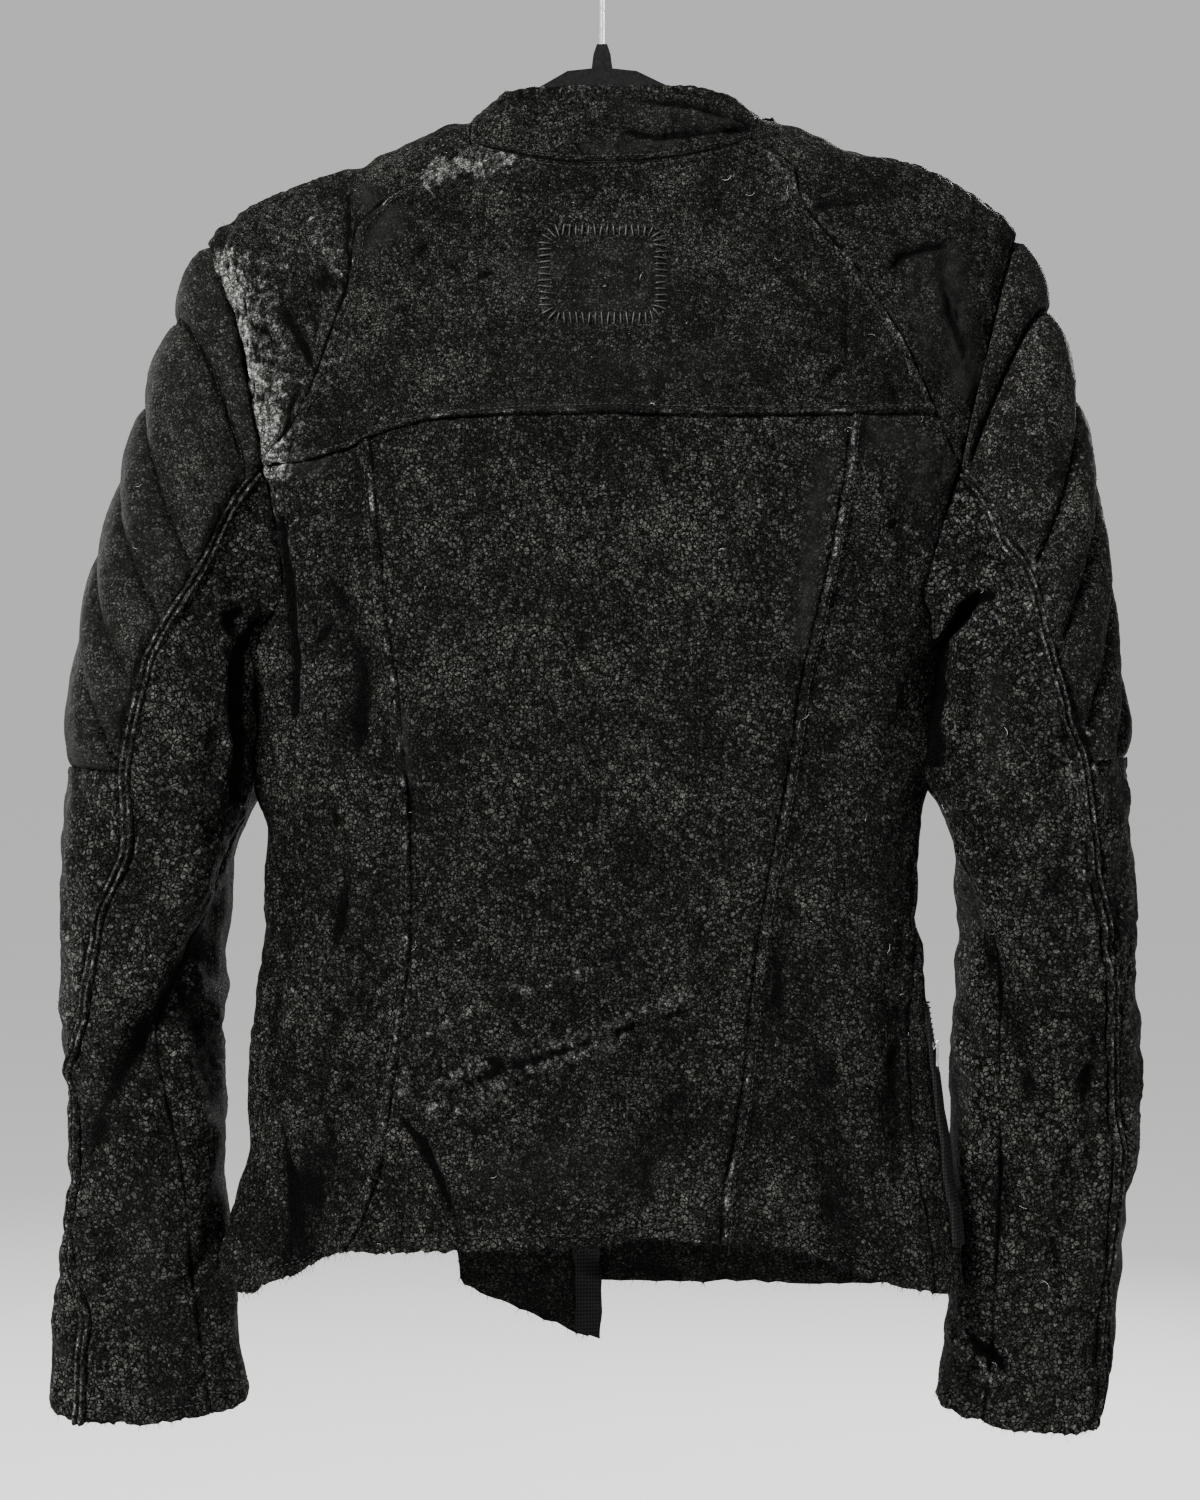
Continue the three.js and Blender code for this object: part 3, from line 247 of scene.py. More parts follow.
def armhole_spot(side, angle):
    hole = ARMHOLES[side]
    angle = np.asarray(angle, float)
    turn = np.where(angle >= 0, hole["back_turn"](np.abs(angle)), hole["front_turn"](np.abs(angle)))
    half = (hole["tip"] - hole["armpit"]) / 2
    return np.stack([turn, hole["armpit"] + half + half * np.cos(angle)], axis=-1)


# Each station: outer x, z and inner x, z, half depth, the y of its middle, and how far its back dips.
STATIONS = {
    "left": [
        (-226, -190.5, -199, -412, 33, 0, 0), (-245, -240, -200.5, -417, 40, 0, 0),
        (-262, -293, -200.5, -421, 45, 0, 0), (-277, -346, -200.5, -430, 49, 0, 0),
        (-291, -396, -200, -445, 51, 0, 0), (-299, -447, -199.5, -470, 51, 0, 0),
        (-305, -502, -201, -505, 50, 1, 0), (-311, -545, -213, -545, 48, 3, 0),
        (-314, -609, -219, -600, 45, 8, 0), (-313, -650, -222.5, -645, 43, 12, 0),
        (-309.6, -705, -220, -710, 38, 18, 2), (-313.6, -769, -218.2, -769, 32, 25, 5),
        (-322.9, -825, -212, -828, 23, 30, 10), (-325.8, -868, -208, -862, 16, 33, 12)],
    "right": [
        (237.5, -187, 197, -409, 33, 0, 0), (256.9, -232, 199.5, -414, 40, 0, 0),
        (267.9, -278, 200.5, -420, 45, 0, 0), (278, -330, 200.5, -427, 49, 0, 0),
        (286, -380, 199.5, -441, 51, 0, 0), (293, -440, 197.5, -465, 51, 0, 0),
        (301, -497, 192.5, -500, 50, 1, 0), (306.1, -543, 203, -543, 48, 3, 0),
        (308.4, -590, 208, -590, 46, 8, 0), (310.5, -645, 204.5, -645, 43, 12, 0),
        (311, -710, 204.2, -710, 39, 18, 2), (306.5, -765, 203.5, -768, 35, 25, 5),
        (300, -820, 202.5, -822, 30, 30, 8), (290, -877, 199, -863, 24, 33, 10)],
}
CUFF = 13
ARMHOLE_BLEND = 3
RINGS = {side: [through(list(enumerate(column))) for column in zip(*rows)] for side, rows in STATIONS.items()}


def plain_ring(side, station, angle):
    outer_x, outer_z, inner_x, inner_z, depth, middle, dip = [line(station) for line in RINGS[side]]
    c, s = np.cos(angle), np.sin(angle)
    return np.stack([
        (outer_x + inner_x) / 2 + (outer_x - inner_x) / 2 * c,
        middle - depth * s * (1 + SLEEVE_FULLNESS * c * c),
        (outer_z + inner_z) / 2 + (outer_z - inner_z) / 2 * c - dip * s], axis=-1)


def wrapped(angle):
    return (np.asarray(angle) + PI) % (2 * PI) - PI


def sleeve_point(side, station, angle):
    station, angle = np.broadcast_arrays(np.asarray(station, float), np.asarray(angle, float))
    fade = np.maximum(1 - station / ARMHOLE_BLEND, 0) ** 3
    hole = armhole_spot(side, wrapped(angle))
    offset = torso_point(hole[..., 0], hole[..., 1]) - plain_ring(side, 0, angle)
    return plain_ring(side, station, angle) + offset * fade[..., None]


def on_sleeve(side, x, z):
    """The station and angle of the sleeve's back at (x, z)."""
    outer_x, outer_z, inner_x, inner_z = RINGS[side][:4]
    low, high = 0.0, float(CUFF)
    for _ in range(40):
        middle = (low + high) / 2
        across = ((x - inner_x(middle)) * (outer_z(middle) - inner_z(middle))
                  - (z - inner_z(middle)) * (outer_x(middle) - inner_x(middle)))
        if (-across if side == "left" else across) > 0:
            low = middle
        else:
            high = middle
    axis = np.array([outer_x(low) - inner_x(low), outer_z(low) - inner_z(low)]) / 2
    centre = np.array([outer_x(low) + inner_x(low), outer_z(low) + inner_z(low)]) / 2
    reach = (np.array([x, z]) - centre) @ axis / (axis @ axis)
    return low, math.acos(min(max(reach, -1), 1))


PIPING = {
    side: through([(0, ROUND_LOW[side]), *[on_sleeve(side, x, z) for x, z in points]])
    for side, points in {
        "left": [(-223, -371), (-238, -400), (-259, -445), (-268.5, -498), (-269, -539), (-287, -581),
                 (-297, -636), (-304, -674), (-308, -768), (-301, -807), (-306, -862)],
        "right": [(226, -360), (240, -384), (252.5, -433), (261.6, -462), (271, -490), (279, -547),
                  (289, -609), (294, -680), (294, -768), (289, -860)],
    }.items()}
INNER_SEAM = {
    "left": through([(0, PI), (6, 3.0), (7, 2.75), (8, 2.3), (9, 1.9), (10.5, 2.17), (CUFF, 2.29)]),
    "right": through([(0, PI), (6, 3.0), (7, 2.7), (8, 2.4), (9, 2.2), (10.5, 2.15), (CUFF, 2.1)]),
}
FRONT_SEAM = through([(0, -ROUND_FRONT_LOW), (4, -1.5), (8, -1.2), (CUFF, -1.15)])
PAD_END = 5.8

# ------------------------------------------------------------------------------------------------
# Seams of the torso
# ------------------------------------------------------------------------------------------------

neck_back_left, neck_back_right = spot(-74, -139, "back"), spot(84, -136.8, "back")
neck_ridge_left, neck_ridge_right = (0, -120), (PI, -119.5)
neck_shoulder_left, neck_shoulder_right = spot(-76, -134, "leftFront"), spot(86, -134, "rightFront")
neck_front_left, neck_front_right = spot(-12, -187, "leftFront"), spot(6, -187, "rightFront")
yoke_right = spot(189, -291.5, "back")
princess_top_left, princess_top_right = spot(-130, -306, "back"), spot(139.4, -293.5, "back")
low_left, low_right = armhole_spot("left", ROUND_LOW["left"]), armhole_spot("right", ROUND_LOW["right"])
armpit_left, armpit_right = armhole_spot("left", PI), armhole_spot("right", PI)
shoulder_seam_left = armhole_spot("left", -ROUND_SHOULDER_SEAM)
shoulder_seam_right = armhole_spot("right", -ROUND_SHOULDER_SEAM)
hem_side_left, hem_side_right = (0, -787), spot(188, -791.5, "back")
hem_princess_left, hem_princess_right = spot(-144, -764.8, "back"), spot(66.5, -759.6, "back")
hem_front_left, hem_front_right = spot(-6, -832, "leftFront"), spot(-32, -798, "rightFront")
chest_left, chest_right = spot(-11, -412, "leftFront"), spot(-6, -409, "rightFront")
flap_foot, flap_top = spot(-84, -799, "leftFront"), spot(-86, -772, "leftFront")

SEAMS = {
    "neck_back": seam(neck_back_left, [(-60, -142.5), (-38, -147.5), (-12, -150.5), (20, -149.8),
                                       (39, -147.8), (65, -142.7)], neck_back_right, "back"),
    "diagonal_left": seam(neck_back_left, [(-98.7, -157.5), (-142, -208.8), (-158.5, -260.8),
                                           (-169.8, -288.5)], low_left, "back"),
    "diagonal_right": seam(neck_back_right, [(111.5, -169.4), (142.3, -209), (156.4, -229)], yoke_right,
                           "back"),
    "diagonal_foot": seam(yoke_right, [], low_right, "back"),
    "yoke_left": seam(low_left, [(-179.4, -320), (-145, -313)], princess_top_left, "back"),
    "yoke": seam(princess_top_left, [(-119, -302.5), (-86.6, -295.8), (10, -294.1), (55, -295.2)],
                 princess_top_right, "back"),
    "yoke_right": seam(princess_top_right, [], yoke_right, "back"),
    "princess_left": seam(princess_top_left, [
        (-127, -341), (-122, -397.6), (-113.6, -453.8), (-108, -530), (-108.3, -594.7), (-114, -651),
        (-122.4, -707.5), (-133.7, -747)], hem_princess_left, "back"),
    "princess_right": seam(princess_top_right, [
        (136.6, -324.5), (122.5, -397.6), (108.8, -465), (97.5, -532.7), (86.3, -600.3), (80.6, -656.7),
        (75, -696.2), (67.6, -735.7)], hem_princess_right, "back"),
    "side_left": seam(armpit_left, [], hem_side_left, "back"),
    "side_right": seam(armpit_right, [(180.5, -550), (175.5, -650), (178, -700), (186, -760)],
                       hem_side_right, "back"),
    "hem_side_back_left": seam(hem_side_left, [(-203, -793), (-189, -785), (-170, -779), (-158, -770)],
                               hem_princess_left, "back"),
    "hem_back": seam(hem_princess_left, [(-120, -765.5), (-82, -764), (0, -761.8), (22, -757.5)],
                     hem_princess_right, "back"),
    "hem_side_back_right": seam(hem_princess_right, [(106, -763.3), (129, -771), (144, -778.6),
                                                     (166, -786)], hem_side_right, "back"),
    "shoulder_front_left": seam(neck_shoulder_left, [], shoulder_seam_left, "leftFront"),
    "shoulder_front_right": seam(neck_shoulder_right, [], shoulder_seam_right, "rightFront"),
    "neck_front_left": seam(neck_shoulder_left, [(-72, -152), (-56, -168), (-34, -180)], neck_front_left,
                            "leftFront"),
    "neck_front_right": seam(neck_shoulder_right, [(80, -152), (60, -168), (34, -181)], neck_front_right,
                             "rightFront"),
    "chest_left": seam(neck_front_left, [(-12, -300)], chest_left, "leftFront"),
    "chest_right": seam(neck_front_right, [(2, -300)], chest_right, "rightFront"),
    "front_edge_left": seam(chest_left, [(-9, -500), (-7, -700)], hem_front_left, "leftFront"),
    "front_edge_right": seam(chest_right, [(-12, -500), (-26, -700)], hem_front_right, "rightFront"),
    "hem_front_side_left": seam(hem_side_left, [(-190, -777), (-150, -771)], flap_top, "leftFront"),
    "flap_step": seam(flap_top, [], flap_foot, "leftFront"),
    "flap_hem": seam(flap_foot, [(-45, -816)], hem_front_left, "leftFront"),
    "hem_front_side_right": seam(hem_side_right, [], (PI, -797), "back"),
    "hem_front_right": seam((PI, -797), [(150, -798), (60, -799)], hem_front_right, "rightFront"),
    "neck_side_left": seam(neck_back_left, [(-74.5, -130.5), (-74.5, -124)], neck_ridge_left, "back"),
    "neck_side_front_left": seam(neck_ridge_left, [(-75, -124), (-75.5, -129)], neck_shoulder_left,
                                 "leftFront"),
    "neck_side_right": seam(neck_back_right, [(86, -129.5), (88, -123.5)], neck_ridge_right, "back"),
    "neck_side_front_right": seam(neck_ridge_right, [(88, -123.5), (87, -128.5)], neck_shoulder_right,
                                  "rightFront"),
}
# How many steps each seam counts for; the pieces on both sides of a seam share its steps.
CUTS = dict(side_back_left=5, back=11, side_back_right=6, diagonal=8, diagonal_foot=2, low_to_tip=5,
            tip_to_shoulder=2, shoulder_to_low=2, low_to_armpit=6, armpit_to_low=5, princess=21, side_left=16,
            side_right=14, neck_front=4, chest=4, hem_to_flap=4, flap_step=1, flap_hem=3, hem_round_side=2,
            hem_front_right=8)
NECK_BACK_CUTS = CUTS["side_back_left"] + CUTS["back"] + CUTS["side_back_right"]
HOLE_SPANS = {
    "low_to_tip": lambda side: (ROUND_LOW[side], 0),
    "tip_to_shoulder": lambda side: (0, -ROUND_SHOULDER_SEAM),
    "shoulder_to_low": lambda side: (-ROUND_SHOULDER_SEAM, -ROUND_FRONT_LOW),
    "low_to_armpit": lambda side: (-ROUND_FRONT_LOW, -PI),
    "armpit_to_low": lambda side: (PI, ROUND_LOW[side]),
}


def run(*pieces):
    """One side of a patch: its seams, as (name, cuts) or (name, cuts, bias), or an armhole's span as
    (side, span). A name with a minus sign runs backwards. Gives [turn, z] at any step number, and the
    number of steps."""
    lines, ends = [], [0]
    for piece in pieces:
        name, cuts, bias = (*piece, 1)[:3]
        if name in ARMHOLES:
            first, last = HOLE_SPANS[cuts.lstrip("-")](name)
            if cuts.startswith("-"):
                first, last = last, first
            lines.append(lambda t, s=name, a=first, b=last: armhole_spot(s, mix(a, b, t)))
            ends.append(ends[-1] + CUTS[cuts.lstrip("-")])
        else:
            line = SEAMS[name.lstrip("-")]
            back = name.startswith("-")
            lines.append(lambda t, f=line, r=back, k=bias: f((1 - t if r else t) ** k))
            ends.append(ends[-1] + cuts)

    def at(step):
        place = np.zeros((len(step), 2))
        for line, low, high in zip(lines, ends, ends[1:]):
            here = (step >= low) & (step <= high)
            place[here] = line((step[here] - low) / (high - low))
        return place

    return at, ends[-1]


def fine_steps(count, fineness):
    """Step numbers from 0 to count, with a few close to both ends, where the leather rolls into its seams."""
    inner = np.linspace(0, count, int(count * fineness) + 1)[1:-1]
    close = np.array([0.2, 0.5]) * count / (len(inner) + 1)
    return np.concatenate([[0], close, inner, count - close[::-1], [count]])


TURN_REACH = 200


def fill_patch(top, bottom, left, right, fineness):
    """The [turn, z] of a patch between four seams, by Coons' rule."""
    columns, rows = fine_steps(top[1], fineness), fine_steps(left[1], fineness)
    top, bottom = top[0](columns), bottom[0](columns)
    left, right = left[0](rows), right[0](rows)

    def reach(line):
        sums = lengths_along(line * np.array([TURN_REACH, 1]))
        return sums / sums[-1]

    down = (rows / rows[-1])[:, None]
    over = (columns / columns[-1])[None, :]
    u = mix(reach(top)[None, :], reach(bottom)[None, :], down)[..., None]
    v = mix(reach(left)[:, None], reach(right)[:, None], over)[..., None]
    corners = mix(mix(top[0], top[-1], u), mix(bottom[0], bottom[-1], u), v)
    return mix(top[None], bottom[None], v) + mix(left[:, None], right[:, None], u) - corners


# ------------------------------------------------------------------------------------------------
# Creases, wear and smooth patches, laid out as (x, z) lines
# ------------------------------------------------------------------------------------------------

# Where, along which line, how deep in mm (a minus sign makes a ridge) and how wide.
CREASES = {
    "back": [
        ([(-144, -166), (-143, -185), (-144, -200), (-142, -210)], 1.6, 2.4),
        ([(-181, -233), (-171, -250), (-163, -267)], 1.8, 2.8),
        ([(-171, -276), (-175, -287), (-179, -299)], 2.2, 2.8),
        ([(-205, -240), (-192, -244), (-184, -252)], 1.2, 2.6),
        ([(-201, -262), (-190, -262), (-181, -268)], 1.2, 2.6),
        ([(-197, -280), (-188, -284)], 1.2, 2.6),
        ([(-91, -205), (-78, -215)], 1.1, 2.4),
        ([(-71, -218), (-60, -213)], 2.4, 2.6),
        ([(-104, -203), (-96, -197)], 1.3, 2.3),
        ([(-112, -184), (-106, -192)], 1.0, 2.3),
        ([(156, -219), (169, -203), (189, -197), (199, -195)], 1.9, 2.6),
        ([(186, -203), (187, -224), (202, -248), (208, -278)], -2.2, 4),
        ([(193, -212), (196, -236), (207, -266)], 2.2, 4),
        ([(201, -224), (202, -239), (207, -255)], 1.5, 2.2),
        ([(176, -206), (172, -222), (158, -236)], -1.4, 3.5),
        ([(137, -221), (137, -263), (124, -278), (118, -292)], 1.5, 2.4),
        ([(162, -269), (166, -286)], 1.3, 2.3),
        ([(121, -175), (148, -172), (166, -174)], 1.3, 2.3),
        ([(124, -156), (131, -147)], 1.1, 2.3),
        ([(-181, -352), (-177, -400), (-174, -431), (-175, -462)], 4.5, 3.4),
        ([(-166, -396), (-160, -440), (-163, -500)], -2.0, 8),
        ([(-153, -376), (-147, -394), (-135, -441), (-138, -472), (-141, -502)], 4.5, 9),
        ([(-165, -330), (-158, -352), (-153, -376)], 2.5, 8),
        ([(-152, -510), (-149, -530)], 1.8, 2.6),
        ([(-161, -424), (-153, -410)], 2.0, 2.6),
        ([(-143, -553), (-147, -571), (-152, -594)], 2.8, 4),
        ([(-183, -693), (-177, -723), (-172, -754)], 1.8, 2.6),
        ([(-182, -480), (-178, -540), (-183, -610), (-188, -690)], 1.8, 6),
        ([(-115, -687), (-100, -705), (-91, -723), (-82, -745)], 2.6, 3.2),
        ([(-113, -651), (-63, -623), (-9, -607), (18, -598)], -1.1, 3.5),
        ([(-82, -659), (-57, -650)], -0.8, 3),
        ([(-90, -669), (-54, -655), (-9, -641), (36, -625), (51, -619)], -1.7, 4.5),
        ([(-88, -676), (-60, -663), (-20, -650), (20, -636)], 1.3, 3),
        ([(-79, -684), (-63, -668), (-27, -655), (9, -639)], -1.5, 4.5),
        ([(-59, -701), (-36, -687), (-9, -675)], -0.8, 3.5),
        ([(-70, -722), (-36, -706), (-2, -694)], -0.7, 3.5),
        ([(165, -623), (168, -680), (172, -736)], 3.2, 8),
        ([(108, -560), (100, -600), (97, -640)], 1.6, 6),
        ([(152, -325), (150, -380), (144, -440)], 1.0, 7),
    ],
    "front": [
        ([(-60, -300), (-75, -420), (-70, -520)], 3, 14),
        ([(118, -330), (100, -450), (96, -540)], 3.5, 14),
        ([(-160, -420), (-128, -402), (-98, -396)], 2.5, 7),
        ([(158, -425), (124, -402), (96, -396)], 2.5, 7),
        ([(-170, -590), (-130, -575), (-95, -572)], 1.8, 6),
        ([(150, -600), (112, -584), (80, -582)], 1.8, 6),
        ([(-62, -690), (-56, -730), (-58, -780)], 2, 6),
        ([(44, -690), (36, -730), (34, -780)], 2, 6),
        ([(-148, -230), (-120, -262), (-104, -300)], 1.5, 5),
        ([(150, -228), (124, -262), (106, -300)], 1.5, 5),
    ],
    "left sleeve back": [
        ([(-208, -578), (-240, -635), (-268, -686), (-296, -742)], 3.4, 9),
        ([(-222, -566), (-252, -623), (-281, -674), (-304, -720)], -1.8, 7),
        ([(-197, -408), (-202, -414), (-206, -424), (-207, -446), (-206, -480), (-208, -510)], 4.5, 3.4),
        ([(-205, -402), (-211, -406), (-210, -418)], 3.5, 3.2),
        ([(-214, -430), (-219, -470), (-222, -520)], 1.6, 8),
        ([(-219, -564), (-237, -603), (-260, -643), (-286, -689), (-303, -729)], 6, 8),
        ([(-222, -540), (-244, -580), (-270, -628), (-296, -668)], -2.2, 9),
        ([(-236, -620), (-228, -652), (-226, -690)], 3.0, 6),
        ([(-252, -690), (-245, -740), (-240, -790)], 2.6, 7),
        ([(-290, -742), (-282, -790), (-276, -838)], 2.2, 7),
        ([(-224, -742), (-232, -775), (-246, -800)], 2.0, 5),
        ([(-260, -560), (-268, -590), (-266, -622)], 1.2, 6),
        ([(-250, -470), (-246, -510), (-250, -545)], 1.6, 8),
    ],
    "right sleeve back": [
        ([(219, -395), (212, -395), (206, -401), (203, -412)], 5.5, 3.6),
        ([(205, -402), (201, -416), (199, -436), (197, -462), (195, -490)], 6, 3.4),
        ([(222, -408), (226, -440), (224, -480)], 1.6, 8),
        ([(204, -378), (212, -371), (222, -373), (231, -382)], 1.6, 2.6),
        ([(206, -368), (214, -361), (226, -363), (236, -372)], 1.3, 2.6),
        ([(209, -564), (220, -603), (235, -643), (252, -689)], 3.6, 9),
        ([(213, -540), (232, -580), (252, -620)], -1.6, 8),
        ([(262, -430), (262, -480), (266, -540)], 1.4, 9),
        ([(224, -690), (230, -740), (226, -800)], 2.4, 7),
        ([(268, -700), (262, -760), (258, -822)], 2.0, 8),
        ([(281, -640), (276, -680), (280, -730)], 1.4, 5),
        ([(212, -820), (226, -832), (240, -850)], 1.6, 4),
    ],
    "left sleeve front": [
        ([(-222, -600), (-250, -618), (-285, -612)], 4, 8),
        ([(-222, -640), (-250, -650), (-288, -640)], 3.5, 8),
        ([(-214, -470), (-240, -500), (-262, -512)], 3, 8),
        ([(-262, -690), (-256, -760), (-262, -820)], 2, 8),
    ],
    "right sleeve front": [
        ([(212, -590), (240, -606), (276, -600)], 4, 8),
        ([(210, -632), (240, -644), (280, -634)], 3.5, 8),
        ([(206, -462), (232, -492), (256, -504)], 3, 8),
        ([(250, -690), (244, -760), (246, -820)], 2, 8),
    ],
    "collar back": [
        ([(13, -114.6), (50, -119), (86, -128.8)], 1.8, 2.0),
        ([(-6, -129.3), (29, -137.2), (72, -132.7), (90, -129.9)], 2.2, 2.2),
        ([(30, -124), (58, -126), (80, -130)], -1.4, 2.4),
        ([(-17, -138.4), (-7.4, -150.8)], 1.8, 2.0),
        ([(-52, -120.3), (-37, -137.2)], 0.9, 1.8),
        ([(-70, -117), (-52, -113), (-30, -112)], 0.9, 2.2),
    ],
}

# Rubbed, paler leather: a line, how far the rubbing reaches, and how strong it is.
WEAR = {
    "back": [
        ([(-214, -206), (-206, -240), (-199, -270), (-192, -300), (-186, -320)], 12, 1.1),
        ([(-206, -212), (-192, -240), (-184, -270), (-180, -310)], 17, 0.5),
        ([(-97, -161), (-83, -153), (-53, -147)], 9, 0.75),
        ([(-163, -183), (-152, -206), (-150, -226)], 9, 0.42),
        ([(-185, -196), (-165, -232), (-150, -262)], 16, 0.26),
        ([(-190, -330), (-182, -352), (-178, -372)], 9, 0.32),
        ([(-170, -400), (-166, -440), (-164, -500)], 12, 0.16),
        ([(-113, -651), (-63, -623), (-9, -607), (18, -598)], 4.5, 0.34),
        ([(-82, -659), (-57, -650)], 3.2, 0.34),
        ([(-90, -669), (-54, -655), (-9, -641), (36, -625), (51, -619)], 6, 0.42),
        ([(-96, -684), (-63, -670), (-27, -657), (9, -643)], 10, 0.46),
        ([(-114, -663), (-110, -676)], 5, 0.4),
        ([(141, -298), (140, -320)], 2.6, 0.5),
        ([(92, -145), (121, -180), (150, -220)], 2.6, 0.5),
        ([(160, -237), (172, -262), (186, -290)], 2.6, 0.42),
        ([(158, -345), (172, -352), (180, -362)], 9, 0.25),
        ([(-121, -380), (-113, -450), (-110, -540), (-112, -620), (-122, -690), (-133, -740)], 3.4, 0.24),
        ([(126, -380), (104, -500), (89, -600), (82, -680)], 3.0, 0.16),
        ([(-40, -340), (-30, -420), (-50, -500), (10, -470), (60, -400)], 30, 0.1),
        ([(-160, -660), (-150, -700), (-150, -740)], 10, 0.12),
        ([(110, -700), (120, -740)], 14, 0.12),
    ],
    "left sleeve back": [
        ([(-232, -400), (-246, -440), (-250, -500)], 15, 0.2),
        ([(-229, -440), (-225, -500), (-240, -560)], 12, 0.2),
        ([(-262, -560), (-285, -640), (-296, -700)], 13, 0.2),
        ([(-302, -590), (-306, -660), (-304, -720)], 8, 0.3),
        ([(-240, -700), (-248, -760), (-260, -830)], 16, 0.12),
        ([(-300, -745), (-300, -800)], 10, 0.22),
    ],
    "right sleeve back": [
        ([(238, -372), (247, -410), (254, -450), (262, -500)], 10, 0.4),
        ([(262, -470), (270, -540), (276, -600)], 13, 0.34),
        ([(232, -480), (238, -540), (246, -600)], 18, 0.2),
        ([(296, -560), (302, -640), (303, -720)], 7, 0.3),
        ([(212, -822), (226, -846)], 11, 0.5),
        ([(250, -700), (262, -780), (256, -850)], 16, 0.18),
    ],
    "collar back": [([(-72, -116), (-40, -109), (20, -108), (60, -111)], 3, 0.3)],
}

# Darker leather whose grain is worn smooth: a line, its reach and its strength.
SMOOTH = {
    "back": [
        ([(-133, -168), (-118, -184), (-132, -196)], 9, 0.9),
        ([(196, -205), (198, -235), (208, -275)], 11, 1.0),
        ([(182, -200), (174, -232), (190, -262)], 9, 0.6),
        ([(150, -303), (172, -306), (192, -318), (180, -330)], 12, 0.85),
        ([(124, -322), (118, -365), (112, -420)], 7, 0.95),
        ([(-112, -462), (-110, -494)], 3.5, 0.9),
        ([(-46, -215), (10, -205), (30, -225), (-20, -235)], 16, 0.5),
        ([(-40, -262), (30, -268), (70, -262)], 14, 0.35),
        ([(-60, -720), (-20, -710), (30, -720)], 16, 0.4),
        ([(-176, -322), (-160, -320)], 7, 0.8),
        ([(-100, -299), (-60, -290), (20, -289)], 5, 0.5),
    ],
    "left sleeve back": [([(-260, -740), (-262, -800)], 16, 0.3)],
    "right sleeve back": [([(222, -440), (220, -500)], 8, 0.5)],
    "collar back": [([(10, -122), (50, -128), (80, -131)], 8, 0.5), ([(-10, -143), (40, -141)], 4, 0.8)],
}


CREASE_DEPTH = 1.3  # every crease is this much deeper than its row in the list says
WAVE_TOP = 0.9  # where the crowns of the fine crumple are levelled off
TORSO_SLACK, COLLAR_SLACK, SLEEVE_SLACK = 0.9, 0.45, 1.3


def laid_out(where, points):
    """The height, wear, smoothness and painted shade that the lists above give one side of the jacket. A
    narrow crease is given more painted shade than a broad one of its depth."""
    x, z = points[..., 0], points[..., 2]
    height, wear, smooth, hollow = (np.zeros(x.shape) for _ in range(4))
    for line, depth, width in CREASES.get(where, []):
        far, along = distance_to_line(x, z, line)
        lips = 0.28 * bell(far - 1.9 * width, width)
        strength = CREASE_DEPTH * depth * np.sin(PI * mix(0.12, 0.88, along))
        height -= strength * (bell(far, width) - lips)
        narrow = np.clip((6.5 - width) / 3, 0, 1)
        # shade painted into the crease's colour, stronger for a narrow crease
        hollow += mix(0.085, 0.33, narrow) * np.clip(strength, 0, None) * bell(far, 0.7 * width)
    for table, total in ((WEAR, wear), (SMOOTH, smooth)):
        for line, reach, strength in table.get(where, []):
            far, _ = distance_to_line(x, z, line)
            np.maximum(total, strength * bell(far, reach), out=total)
    return height, wear, smooth, hollow


def crumpled(points, laid, slack):
    """Adds the leather's own slack to what is laid out: broad soft waves, and finer ones that meet in sharp
    valleys and are deepest where the leather is worn."""
    height, wear, smooth, hollow = laid
    broad = ripple(points, 70, 1, stretch=(0.7, 1, 1.6))
    middle = ripple(points, 26, 2, stretch=(0.8, 1, 1.3))
    pinched = np.minimum(np.abs(ripple(points, 17, 3, stretch=(0.7, 1, 1.2))), WAVE_TOP)
    fine = np.minimum(np.abs(ripple(points, 8, 4)), WAVE_TOP)
    where = smoothstep(-0.6, 1.2, ripple(points, 90, 5))
    deep = 0.3 + where + 1.8 * wear
    height = height + slack * (1.2 * broad + 0.9 * middle) + deep * (1.2 * pinched + 0.5 * fine)
    valleys = (1 - pinched / WAVE_TOP) ** 3 + 0.7 * (1 - fine / WAVE_TOP) ** 3
    # shade painted into the troughs of the middle and broad waves, and below into the fine valleys, more
    # where worn
    hollow = hollow + 0.16 * np.clip(-middle, 0, 1.5) + 0.14 * np.clip(-broad, 0, 1.5)
    return height, wear, smooth, hollow + valleys * np.clip(0.14 + 0.12 * where + 0.5 * wear, 0, 0.6)


# ------------------------------------------------------------------------------------------------
# From a grid of points to a piece of leather
# ------------------------------------------------------------------------------------------------

WALL, PAD_WALL, TIP_WALL = 2.0, 3.0, 1.4
SHADED_DIP = 3.2  # a seam's dip of so many mm is given painted shade as dark as leather gets
INSIDE_PAINTED_SHADE, INSIDE_SMOOTH = 0.3, 0.35  # the painted shade and the smoothness of the leather's inner face
SEAM_GAP = 0.02  # each piece stops this far from its seam
STITCH_ROW = 6.8  # from a seam or edge to its row of stitches
HEM = 8.6  # the depth of a turned hem


